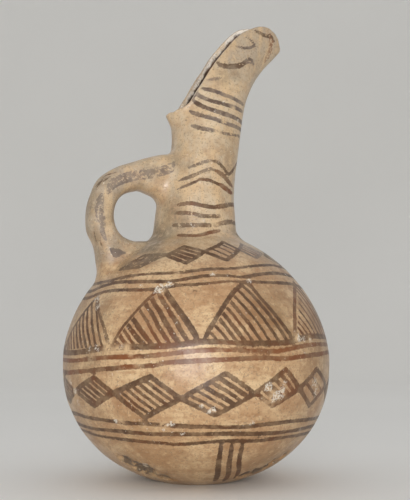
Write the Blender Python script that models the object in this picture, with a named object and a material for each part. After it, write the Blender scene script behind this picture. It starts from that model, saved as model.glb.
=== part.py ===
"""Painted terracotta jug: a round belly on a small flat foot, a leaning neck, a cut-away beak and a strap.

Metres, +Z up. The origin is the centre of the flat foot. The beak points to +X and the handle to -X. The jug
is the same on both sides of the XZ plane, apart from the rim, which was cut a little higher on the beak's +Y
side. The fired clay is one solid: its wall is open at the mouth alone.
"""

import math

import bmesh
import bpy
import numpy as np

MM = 0.001

# Belly: a lower and an upper half of a superellipsoid that share their widest circle. Fullness 2 is an
# ellipse.
BELLY_RADIUS = 68.4 * MM
BELLY_HEIGHT = 60.7 * MM
SHOULDER_RISE = 67.5 * MM
SHOULDER_FULLNESS = 1.82
LOWER_FULLNESS = 2.15
FOOT_RADIUS = 19.0 * MM

# Neck: round sections from the shoulder up, each with its radius, its lean towards the beak and its height.
NECK_ROOT_RADIUS = 21.6 * MM
NECK_MID_RADIUS = 20.4 * MM
NECK_TOP_RADIUS = 18.3 * MM
NECK_ROOT_LEAN = -1.0 * MM
NECK_MID_LEAN = -0.7 * MM
NECK_TOP_LEAN = 5.2 * MM
NECK_MID_HEIGHT = 18.0 * MM
NECK_TOP_HEIGHT = 53.0 * MM
ROOT_FILLET = 5.0 * MM
FILLET_PULL = 1.6

# Throat: the first slanted section, with its rear and front points measured from the centre of the neck's
# top.
THROAT_REAR = (-18.8 * MM, 5.0 * MM)
THROAT_FRONT = (21.7 * MM, 20.5 * MM)
THROAT_HALF_WIDTH = 17.4 * MM

# Rim of the cut-away mouth, from the tip round one side to the rear lip, measured from the same centre:
# x, height and half width.
RIM = (
    (43.7 * MM, 54.0 * MM, 0.0 * MM),
    (40.7 * MM, 60.8 * MM, 5.4 * MM),
    (33.2 * MM, 65.5 * MM, 8.8 * MM),
    (23.0 * MM, 64.3 * MM, 11.1 * MM),
    (11.5 * MM, 54.4 * MM, 12.8 * MM),
    (1.4 * MM, 41.4 * MM, 13.7 * MM),
    (-7.2 * MM, 27.0 * MM, 13.2 * MM),
    (-15.2 * MM, 15.2 * MM, 10.3 * MM),
    (-22.4 * MM, 12.0 * MM, 0.0 * MM),
)
RIM_SLANT = 0.22
UNDERSIDE_TUCK = 3.0 * MM

# Clay thickness.
FOOT_WALL = 7.5 * MM
BELLY_WALL = 5.2 * MM
NECK_WALL = 4.4 * MM
BEAK_WALL = 3.2 * MM
LIP_WALL = 2.6 * MM

# Handle: a strap round the finger hole, from the neck's rear over its reach and down to the shoulder. The
# hole's centre is measured from the neck's root. Each station is an angle in degrees from the beak's side,
# then the hole's edge and the strap's outer edge from that centre, and the strap's width.
HOLE_REACH = 12.3 * MM
HOLE_RISE = 10.9 * MM
HANDLE = (
    (68, 14.0 * MM, 34.8 * MM, 17.4 * MM),
    (90, 12.9 * MM, 27.6 * MM, 16.4 * MM),
    (112, 12.1 * MM, 25.8 * MM, 16.0 * MM),
    (134, 11.5 * MM, 25.3 * MM, 16.0 * MM),
    (156, 11.1 * MM, 24.0 * MM, 16.0 * MM),
    (178, 11.0 * MM, 23.8 * MM, 16.0 * MM),
    (200, 11.4 * MM, 24.9 * MM, 16.2 * MM),
    (222, 12.3 * MM, 26.2 * MM, 17.6 * MM),
)
HANDLE_SQUARENESS = 2.7

# Saddle: the clay filled in between the strap's foot and the neck, as angle and the hole's edge.
SADDLE = (
    (246, 13.0 * MM),
    (270, 13.7 * MM),
    (294, 14.2 * MM),
)

# Handle roots: the neck root's low and high points above the neck's root, and the shoulder root's far and
# near points from the belly's axis, each as deep in the clay as its share of the wall says.
NECK_ROOT_LOW = 17.8 * MM
NECK_ROOT_HIGH = 45.5 * MM
NECK_ROOT_WIDTH = 18.6 * MM
SHOULDER_ROOT_FAR = 51.2 * MM
SHOULDER_ROOT_NEAR = 25.0 * MM
SHOULDER_ROOT_WIDTH = 20.0 * MM
ROOT_DEPTH = 0.85
CORE_DEPTH = 0.5

# Facets of the solid.
COLUMNS = 48
LOWER_ROWS = 8
SHOULDER_ROWS = 7
FILLET_ROWS = 3
NECK_ROWS = 6
BEAK_ROWS = 13
INNER_STEP = 2
LIP_ROWS = 3
HANDLE_RINGS = 32
HANDLE_SIDES = 18

CLAY = "buff_terracotta"
CLAY_COLOR = (0.56, 0.40, 0.24, 1.0)
CLAY_ROUGHNESS = 0.72


def clear_scene():
    for obj in list(bpy.data.objects):
        bpy.data.objects.remove(obj)


def clay_material():
    material = bpy.data.materials.new(CLAY)
    material.use_nodes = True
    shader = material.node_tree.nodes["Principled BSDF"]
    shader.inputs["Base Color"].default_value = CLAY_COLOR
    shader.inputs["Roughness"].default_value = CLAY_ROUGHNESS
    shader.inputs["Metallic"].default_value = 0.0
    return material


def share_left(share, fullness):
    """The other coordinate of a unit superellipse, so that both raised to the fullness add up to 1."""
    return (1 - share**fullness) ** (1 / fullness)


def shoulder_height(radius):
    """Height of the upper half at a distance from the belly's axis."""
    return BELLY_HEIGHT + SHOULDER_RISE * share_left(radius / BELLY_RADIUS, SHOULDER_FULLNESS)


def columns(count):
    """Angles round the jug, from 0 at the beak through 180 degrees at the handle."""
    return np.linspace(0, 2 * math.pi, count, endpoint=False)


def oval_ring(theta, rear, front, half_width):
    """An oval in a tilted plane, from its rear and front points in the XZ plane and its half width in Y."""
    share = (1 - np.cos(theta)) / 2
    x = front[0] + (rear[0] - front[0]) * share
    z = front[1] + (rear[1] - front[1]) * share
    return np.stack([x, half_width * np.sin(theta), z], -1)


def round_ring(theta, radius, lean, height):
    return oval_ring(theta, (lean - radius, height), (lean + radius, height), radius)


def smooth_loop(stations, at):
    """A closed cubic spline through evenly spaced stations, read at loop positions from 0 to 1."""
    count = len(stations)
    bend = np.roll(stations, -1, 0) - 2 * stations + np.roll(stations, 1, 0)
    ones = np.eye(count)
    matrix = (4 * ones + np.roll(ones, 1, 0) + np.roll(ones, -1, 0)) / 6
    curve = np.linalg.solve(matrix, bend)
    place = np.asarray(at) * count
    low = np.floor(place).astype(int) % count
    high = (low + 1) % count
    t = (place % 1)[:, None]
    straight = stations[low] * (1 - t) + stations[high] * t
    return straight + ((t**3 - t) * curve[high] + ((1 - t) ** 3 - (1 - t)) * curve[low]) / 6


def rim_ring(theta, origin):
    """The rim's closed curve through the stations of RIM and their mirror, slanted up towards +Y."""
    side = np.array(RIM)[:, (0, 2, 1)]
    other = side[-2:0:-1] * (1, -1, 1)
    ring = smooth_loop(np.concatenate([side, other]), theta / (2 * math.pi))
    ring[:, 2] += RIM_SLANT * np.clip(ring[:, 0] / RIM[3][0], 0, 1) * ring[:, 1]
    return ring + origin


def hermite(a, ta, b, tb, count):
    """Rings between ring a and ring b, without a and with b, leaving a along ta and reaching b along tb."""
    t = np.linspace(0, 1, count + 1)[1:, None, None]
    return (
        (2 * t**3 - 3 * t**2 + 1) * a
        + (t**3 - 2 * t**2 + t) * ta
        + (3 * t**2 - 2 * t**3) * b
        + (t**3 - t**2) * tb
    )


def loft(rings, start, counts):
    """Rings through all the given ones, with count rings in each gap, leaving the first along start.

    Each point's tangent at a ring weighs the two chords there by their lengths, so close rings make no
    crease.
    """
    chords = np.diff(rings, axis=0)
    lengths = np.linalg.norm(chords, axis=2, keepdims=True)
    slopes = chords / lengths
    inner = (slopes[:-1] * lengths[1:] + slopes[1:] * lengths[:-1]) / (lengths[:-1] + lengths[1:])
    tangents = np.concatenate([start[None], inner, slopes[-1:]])
    gaps = [
        hermite(rings[k], tangents[k] * lengths[k], rings[k + 1], tangents[k + 1] * lengths[k], counts[k])
        for k in range(len(counts))
    ]
    return np.concatenate(gaps)


def half_belly(theta, angles, rise, fullness):
    """Level circles of one half of the belly, at angles from its widest circle."""
    power = 2 / fullness
    return [
        round_ring(
            theta,
            BELLY_RADIUS * math.cos(angle) ** power,
            0,
            BELLY_HEIGHT + rise * math.sin(abs(angle)) ** power,
        )
        for angle in angles
    ]


def belly_rings(theta, lower_rows, shoulder_rows):
    """Level circles up the belly from the foot's edge, through the widest circle, to the neck's fillet."""
    under_depth = BELLY_HEIGHT / share_left(FOOT_RADIUS / BELLY_RADIUS, LOWER_FULLNESS)
    low = math.acos((FOOT_RADIUS / BELLY_RADIUS) ** (LOWER_FULLNESS / 2))
    high = math.acos(((NECK_ROOT_RADIUS + ROOT_FILLET) / BELLY_RADIUS) ** (SHOULDER_FULLNESS / 2))
    lower = half_belly(theta, np.linspace(low, 0, lower_rows + 1), -under_depth, LOWER_FULLNESS)
    above = np.linspace(0, high, shoulder_rows + 1)[1:]
    shoulder = half_belly(theta, above, SHOULDER_RISE, SHOULDER_FULLNESS)
    return np.array(lower + shoulder)


def outer_rings(theta, rows):
    """The jug's outside as rings from the foot's edge to the rim, and the row at which each part starts."""
    lower_rows, shoulder_rows, fillet_rows, neck_rows, beak_rows = rows
    base = shoulder_height(NECK_ROOT_RADIUS)
    belly = belly_rings(theta, lower_rows, shoulder_rows)
    root = round_ring(theta, NECK_ROOT_RADIUS, NECK_ROOT_LEAN, base + ROOT_FILLET)
    middle = round_ring(theta, NECK_MID_RADIUS, NECK_MID_LEAN, base + NECK_MID_HEIGHT)
    top = round_ring(theta, NECK_TOP_RADIUS, NECK_TOP_LEAN, base + NECK_TOP_HEIGHT)
    origin = np.array([NECK_TOP_LEAN, 0, base + NECK_TOP_HEIGHT])
    rear, front = (origin[[0, 2]] + point for point in (THROAT_REAR, THROAT_FRONT))
    throat = oval_ring(theta, rear, front, THROAT_HALF_WIDTH)
    rim = rim_ring(theta, origin)
    beak = (throat + rim) / 2
    beak[:, 0] -= UNDERSIDE_TUCK * np.clip(np.cos(theta), 0, 1) ** 2

    leave = belly[-1] - belly[-2]
    leave /= np.linalg.norm(leave, axis=1, keepdims=True)
    rise = middle - root
    rise /= np.linalg.norm(rise, axis=1, keepdims=True)
    pull = FILLET_PULL * ROOT_FILLET
    fillet = hermite(belly[-1], leave * pull, root, rise * pull, fillet_rows)
    below = neck_rows // 3
    third = beak_rows // 3
    belly_end = len(belly)
    sections = np.array([root, middle, top, throat, beak, rim])
    upper = loft(sections, rise, [below, neck_rows - below, third, third, beak_rows - 2 * third])
    return np.concatenate([belly, fillet, upper]), (belly_end, belly_end + fillet_rows + neck_rows)


def wall_thickness(count, starts):
    """Clay thickness at each ring: thick in the foot, even in belly and neck, thin in the beak and lip."""
    belly_end, neck_end = starts
    at = (0, belly_end // 3, belly_end, neck_end, (neck_end + count) // 2, count - 1)
    walls = (FOOT_WALL, BELLY_WALL, NECK_WALL, NECK_WALL, BEAK_WALL, LIP_WALL)
    return np.interp(np.arange(count), at, walls)


def outward(rings):
    """Unit normals and unit upward tangents of the ring grid, from its neighbours' differences."""
    up = np.gradient(rings, axis=0)
    along = np.roll(rings, -1, axis=1) - np.roll(rings, 1, axis=1)
    normal = np.cross(along, up)
    normal /= np.linalg.norm(normal, axis=2, keepdims=True)
    return normal, up / np.linalg.norm(up, axis=2, keepdims=True)


def shell_rings(theta, rows, lip_rows, inner_step):
    """All rings in order: up the outside, over the round lip, and down the inside to the foot."""
    outer, starts = outer_rings(theta, rows)
    normal, up = outward(outer)
    wall = wall_thickness(len(outer), starts)[:, None, None]
    inner = outer - normal * wall
    inner[0] = outer[0] * (1 - FOOT_WALL / FOOT_RADIUS / 2) + (0, 0, FOOT_WALL)
    half = wall[-1] / 2
    lip = [
        outer[-1] - half * normal[-1] + half * (math.cos(a) * normal[-1] + math.sin(a) * up[-1])
        for a in np.linspace(0, math.pi, lip_rows + 2)[1:-1]
    ]
    down = inner[::-1][::inner_step]
    if (len(inner) - 1) % inner_step:
        down = np.concatenate([down, inner[:1]])
    return np.concatenate([outer, lip, down])


def mesh_object(name, rings, material=None):
    """A named object: each ring is joined to the next by quads, and a flat face closes each end."""
    mesh = bpy.data.meshes.new(name)
    bm = bmesh.new()
    loops = [[bm.verts.new(point) for point in ring] for ring in rings]
    for low, high in zip(loops, loops[1:]):
        for k in range(len(low)):
            bm.faces.new((low[k - 1], low[k], high[k], high[k - 1]))
    bm.faces.new(loops[0])
    bm.faces.new(loops[-1])
    bmesh.ops.recalc_face_normals(bm, faces=bm.faces)
    bm.to_mesh(mesh)
    bm.free()
    mesh.shade_smooth()
    mesh.set_sharp_from_angle(angle=math.radians(50))
    obj = bpy.data.objects.new(name, mesh)
    bpy.context.scene.collection.objects.link(obj)
    if material:
        mesh.materials.append(material)
    return obj


def helper(obj):
    """Marks a cutter or a piece that a Boolean joins, so that it isn't shown by itself."""
    obj.hide_render = True
    obj.display_type = "WIRE"
    return obj


def spline(points, count):
    """A smooth open curve through the points, as Catmull-Rom spans, with count + 1 even parameter steps."""
    points = np.array(points)
    padded = np.concatenate([[2 * points[0] - points[1]], points, [2 * points[-1] - points[-2]]])
    at = np.linspace(0, len(points) - 1, count + 1)
    span = np.minimum(at.astype(int), len(points) - 2)
    t = (at - span)[:, None]
    a, b, c, d = (padded[span + k] for k in range(4))
    return 0.5 * (2 * b + (c - a) * t + (2 * a - 5 * b + 4 * c - d) * t**2 + (3 * b - a - 3 * c + d) * t**3)


def neck_rear(rise, depth):
    """The point in the XZ plane at a height above the neck's root and a depth behind the neck's surface."""
    heights = (ROOT_FILLET, NECK_MID_HEIGHT, NECK_TOP_HEIGHT)
    leans = (NECK_ROOT_LEAN, NECK_MID_LEAN, NECK_TOP_LEAN)
    radii = (NECK_ROOT_RADIUS, NECK_MID_RADIUS, NECK_TOP_RADIUS)
    surface = np.interp(rise, heights, np.subtract(leans, radii))
    return surface + depth, shoulder_height(NECK_ROOT_RADIUS) + rise


def shoulder_rear(reach, depth):
    """The point in the XZ plane at a distance behind the belly's axis and at a depth under the shoulder."""
    return -reach, shoulder_height(reach) - depth


def ray(angle):
    """Unit vectors in the XZ plane at angles in degrees from the beak's side."""
    turn = np.radians(angle)
    return np.stack([np.cos(turn), np.sin(turn)], -1)


def handle_lines(count):
    """The hole's edge line, the strap's outer line and its widths, all by the same steps along the strap."""
    stations = np.array(HANDLE)
    hole_x = NECK_ROOT_LEAN - NECK_ROOT_RADIUS - HOLE_REACH
    centre = np.array([hole_x, shoulder_height(NECK_ROOT_RADIUS) + HOLE_RISE])
    edge = np.concatenate([stations[:, :2], SADDLE])
    edge = centre + ray(edge[:, 0]) * edge[:, 1:]
    outer = centre + ray(stations[:, 0]) * stations[:, 2:3]
    neck_depth = NECK_WALL * ROOT_DEPTH
    belly_depth = BELLY_WALL * ROOT_DEPTH
    far, *middle, near = np.linspace(SHOULDER_ROOT_FAR, SHOULDER_ROOT_NEAR, len(SADDLE) + 2)
    edge = [neck_rear(NECK_ROOT_LOW, neck_depth), *edge, shoulder_rear(near, belly_depth)]
    outer = [
        neck_rear(NECK_ROOT_HIGH, neck_depth),
        *outer,
        shoulder_rear(far, belly_depth / 2),
        *(shoulder_rear(reach, belly_depth) for reach in middle),
    ]
    foot_widths = [SHOULDER_ROOT_WIDTH] * len(SADDLE)
    widths = [NECK_ROOT_WIDTH, *stations[:, 3], *foot_widths, SHOULDER_ROOT_WIDTH * 0.7]
    return spline(edge, count), spline(outer, count), spline(np.array(widths)[:, None], count)[:, 0]


def handle_rings(count, sides):
    """Rounded-rectangle sections that span from the hole's edge line to the strap's outer line."""
    edge, outer, widths = handle_lines(count)
    middle = (edge + outer) / 2
    half = (outer - edge) / 2
    angle = columns(sides)
    power = 2 / HANDLE_SQUARENESS
    across = np.sign(np.cos(angle)) * np.abs(np.cos(angle)) ** power
    along = np.sign(np.sin(angle)) * np.abs(np.sin(angle)) ** power
    flat = middle[:, None] + half[:, None] * across[:, None]
    return np.stack([flat[..., 0], np.outer(widths / 2, along), flat[..., 1]], -1)


def wall_core(theta, rows):
    """A closed body whose skin runs inside the wall, to trim the handle's roots so that none shows inside."""
    outer, starts = outer_rings(theta, rows)
    normal, _ = outward(outer)
    wall = wall_thickness(len(outer), starts)[:, None, None]
    return outer - normal * wall * CORE_DEPTH


def boolean(target, other, operation):
    modifier = target.modifiers.new(f"{operation.lower()}_{other.name}", "BOOLEAN")
    modifier.operation = operation
    modifier.object = other
    return modifier


def build():
    clear_scene()
    clay = clay_material()
    theta = columns(COLUMNS)
    rows = (LOWER_ROWS, SHOULDER_ROWS, FILLET_ROWS, NECK_ROWS, BEAK_ROWS)
    jug = mesh_object("jug", shell_rings(theta, rows, LIP_ROWS, INNER_STEP), clay)
    core = helper(mesh_object("wall_core", wall_core(theta, rows)))
    handle = helper(mesh_object("handle_strap", handle_rings(HANDLE_RINGS, HANDLE_SIDES), clay))
    boolean(handle, core, "DIFFERENCE")
    boolean(jug, handle, "UNION")
    return jug


if __name__ == "__main__":
    build()
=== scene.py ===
"""The painted terracotta jug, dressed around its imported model: hand-built clay, its painting and wear, and a
plain studio. Lengths are in millimetres until a mesh is made. +X is the beak's side and -X the handle's."""

import math
from functools import partial

import bpy
import numpy as np
from bpy.props import FloatProperty, FloatVectorProperty, IntProperty, PointerProperty
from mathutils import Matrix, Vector


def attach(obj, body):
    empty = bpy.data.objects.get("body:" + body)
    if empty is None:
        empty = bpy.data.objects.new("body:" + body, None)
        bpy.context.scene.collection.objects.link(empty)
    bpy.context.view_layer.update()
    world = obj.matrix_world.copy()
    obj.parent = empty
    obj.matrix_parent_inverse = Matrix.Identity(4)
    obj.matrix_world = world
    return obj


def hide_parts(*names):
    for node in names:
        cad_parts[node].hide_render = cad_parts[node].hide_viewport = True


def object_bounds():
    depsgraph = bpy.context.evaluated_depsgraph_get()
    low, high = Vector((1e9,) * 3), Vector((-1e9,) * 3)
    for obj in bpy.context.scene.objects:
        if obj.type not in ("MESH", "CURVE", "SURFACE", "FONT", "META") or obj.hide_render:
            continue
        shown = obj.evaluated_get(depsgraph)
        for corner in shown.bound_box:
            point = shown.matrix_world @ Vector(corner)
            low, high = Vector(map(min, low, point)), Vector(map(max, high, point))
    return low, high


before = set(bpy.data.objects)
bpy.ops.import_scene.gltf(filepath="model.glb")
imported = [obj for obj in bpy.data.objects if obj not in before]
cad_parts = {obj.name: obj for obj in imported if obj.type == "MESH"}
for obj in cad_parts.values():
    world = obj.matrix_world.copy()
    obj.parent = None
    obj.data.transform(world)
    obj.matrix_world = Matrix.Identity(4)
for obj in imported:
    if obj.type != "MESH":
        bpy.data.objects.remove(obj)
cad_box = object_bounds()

bl_info = {
    "name": "Painted terracotta jug",
    "version": (1, 0, 0),
    "blender": (4, 5, 0),
    "location": "3D View > Sidebar > Jug",
    "description": "Builds a hand-made jug's clay, painting and wear, and a plain studio round it",
    "category": "Object",
}

MM = 0.001

# Clay form, as the solid has it.
BELLY_RADIUS = 68.4
BELLY_HEIGHT = 60.7
SHOULDER_RISE = 67.5
SHOULDER_FULLNESS = 1.82
LOWER_FULLNESS = 2.15
FOOT_RADIUS = 19.0
NECK_ROOT_RADIUS = 21.6
NECK_MID_RADIUS = 20.4
NECK_TOP_RADIUS = 18.3
NECK_ROOT_LEAN = -1.0
NECK_MID_LEAN = -0.7
NECK_TOP_LEAN = 5.2
NECK_MID_HEIGHT = 18.0
NECK_TOP_HEIGHT = 53.0
ROOT_FILLET = 5.0
FILLET_PULL = 1.6
THROAT_REAR = (-18.8, 5.0)
THROAT_FRONT = (21.7, 20.5)
THROAT_HALF_WIDTH = 17.4
RIM = (
    (43.7, 54.0, 0.0),
    (40.7, 60.8, 5.4),
    (33.2, 65.5, 8.8),
    (23.0, 64.3, 11.1),
    (11.5, 54.4, 12.8),
    (1.4, 41.4, 13.7),
    (-7.2, 27.0, 13.2),
    (-15.2, 15.2, 10.3),
    (-22.4, 12.0, 0.0),
)
RIM_SLANT = 0.22
UNDERSIDE_TUCK = 3.0
FOOT_WALL = 7.5
BELLY_WALL = 5.2
NECK_WALL = 4.4
BEAK_WALL = 3.2
LIP_WALL = 2.6

# Handle, as the solid has it: angle from the beak's side, hole's edge, strap's outer edge, width.
HOLE_REACH = 12.3
HOLE_RISE = 10.9
HANDLE = (
    (68, 14.0, 34.8, 17.4),
    (90, 12.9, 27.6, 16.4),
    (112, 12.1, 25.8, 16.0),
    (134, 11.5, 25.3, 16.0),
    (156, 11.1, 24.0, 16.0),
    (178, 11.0, 23.8, 16.0),
    (200, 11.4, 24.9, 16.2),
    (222, 12.3, 26.2, 17.6),
)
HANDLE_SQUARENESS = 2.7
SADDLE = ((246, 13.0), (270, 13.7), (294, 14.2))
NECK_ROOT_LOW = 17.8
NECK_ROOT_HIGH = 45.5
NECK_ROOT_WIDTH = 18.6
SHOULDER_ROOT_FAR = 51.2
SHOULDER_ROOT_NEAR = 25.0
SHOULDER_ROOT_WIDTH = 20.0
ROOT_DEPTH = 0.85
CORE_DEPTH = 0.5

# Rows and columns of the finished mesh. The neck has half the belly's columns, and the inside half of that.
BELLY_COLUMNS = 384
LOWER_ROWS = 60
SHOULDER_ROWS = 62
FILLET_ROWS = 10
NECK_ROWS = 46
BEAK_ROWS = 54
LIP_ROWS = 6
INNER_STEP = 4
HANDLE_RINGS = 120
HANDLE_SIDES = 56
CORE_COLUMNS = 96

# Where clay is smeared over the handle's roots: behind this X, between these heights, in this many rounds.
SMEAR_FRONT = -8.0
SMEAR_LOW = 90.0
SMEAR_HIGH = 185.0
SMEAR_ROUNDS = 60

# How far inside the solid's widest circle and box the clay stays, and how many times as deep as chips the
# spalls are.
CIRCLE_GAP = 0.03
BOX_GAP = 0.04
SPALL_DEPTH = 1.6

# A brush stroke starts at this share of its width and is full after this length in mm. Its pressure swings by
# the last share.
STROKE_TIP = 0.62
STROKE_RUN_IN = 3.0
STROKE_SWING = 0.28

# How far round a stroke points are looked at, in mm, and how many distances are worked out at a time.
STROKE_MARGIN = 3.0
BLOCK = 2000000

# What the surface carries at each vertex, with its value where nothing is laid. Edge, area, gap, half width
# and inside are in mm. Inside is the depth below the lip.
FIELDS = {
    "paint_edge": -3.0, "paint_tone": 0.0, "paint_fade": 0.0, "hatch_area": -3.0, "hatch_phase": 0.0,
    "hatch_gap": 3.0, "hatch_half": 0.8, "lime": 0.0, "soil_and_shade": 0.0, "stain_and_shade": 0.0, "flake": 0.0, "scorch": 0.0,
    "inside": 0.0,
}

# Studio: the soft lamp beside the camera and the point that it is aimed at, in metres.
KEY_PLACE = (-0.255, -0.645, 0.085)
KEY_SIZE = 0.28
KEY_AIM = (0, 0, 0.11)

# Painted lines that run right round the belly: width, tone, fading, then angle and height of each mark. Tone
# runs from -1, grey-mauve, through 0, dark brown, to 1, red-brown.
BELLY_LINES = (
    (2.1, 0, 0.05, ((183, 98.5), (198, 99.1), (209, 100.6), (225, 101.4), (241, 101.6), (255, 103.6),
        (272, 104.4), (282, 105.9), (303, 107.6), (321, 107.2), (350, 104), (380, 102), (420, 103),
        (460, 101), (500, 100))),
    (2.3, 0.1, 0, ((185, 94.8), (196, 96.8), (208, 98.1), (224, 97.5), (237, 97.2), (247, 99), (254, 100.3),
        (265, 100.7), (275, 100), (285, 101.9), (300, 103.2), (319, 102.9), (350, 100), (380, 98), (420, 99),
        (460, 97), (500, 96))),
    (2, 0.1, 0, ((187, 91.2), (199, 93.6), (211, 94), (225, 93.5), (234, 93.8), (240, 95.4), (252, 96.1),
        (264, 97.6), (275, 97.9), (285, 97.8), (298, 98), (310, 98.2), (345, 96), (380, 94.5), (420, 95),
        (460, 93), (500, 92.5))),
    (2.8, 0.2, 0.05, ((189, 64.4), (197, 64.9), (207, 66.3), (215, 66.8), (224, 67.2), (232, 67.2),
        (239, 67.6), (246, 68.5), (251, 69.4), (257, 69.8), (265, 69), (282, 69), (290, 69.3), (296, 71.2),
        (304, 72.4), (317, 72.6), (335, 72), (360, 70.5), (400, 69), (440, 68), (480, 67), (520, 65.2))),
    (2.2, 0.55, 0.05, ((190, 60.6), (203, 61.7), (215, 62.7), (224, 62.7), (232, 63.2), (240, 64.1),
        (248, 65.4), (255, 65.9), (265, 65.9), (275, 65.4), (285, 65.4), (295, 67.4), (307, 68.7),
        (330, 68.5), (360, 67), (400, 65.5), (440, 64), (480, 63), (520, 61.2))),
    (2.3, 0.45, 0.05, ((183, 54.7), (200, 56), (212, 57.2), (224, 58.2), (232, 58.8), (238, 60.1), (248, 61),
        (257, 61.4), (266, 61.9), (277, 62.5), (286, 61.7), (298, 63), (311, 63.9), (325, 64.8), (360, 63),
        (400, 61.5), (440, 60), (480, 58.5), (515, 56.2))),
    (2.3, 0.05, 0, ((185, 35), (197, 33.9), (211, 33.3), (219, 32.8), (230, 32.8), (243, 32.1), (258, 31.6),
        (271, 31.3), (278, 32), (294, 32.9), (321, 32.4), (360, 33.5), (420, 33), (470, 34), (510, 34.6))),
    (2.3, 0.05, 0, ((180, 29.7), (197, 28.6), (214, 28.8), (229, 28.1), (247, 28.4), (263, 28.3), (279, 27.7),
        (297, 28), (322, 28.5), (360, 29), (420, 28.5), (470, 29.5), (510, 29.6))),
    (2.1, 0.1, 0, ((182, 26.6), (198, 25.3), (212, 24.9), (223, 24.5), (234, 24), (242, 23.4), (251, 24.2),
        (263, 25), (278, 24.4), (296, 25.2), (316, 25), (360, 25.5), (420, 25), (470, 25.5), (510, 26.2))),
)

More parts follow.
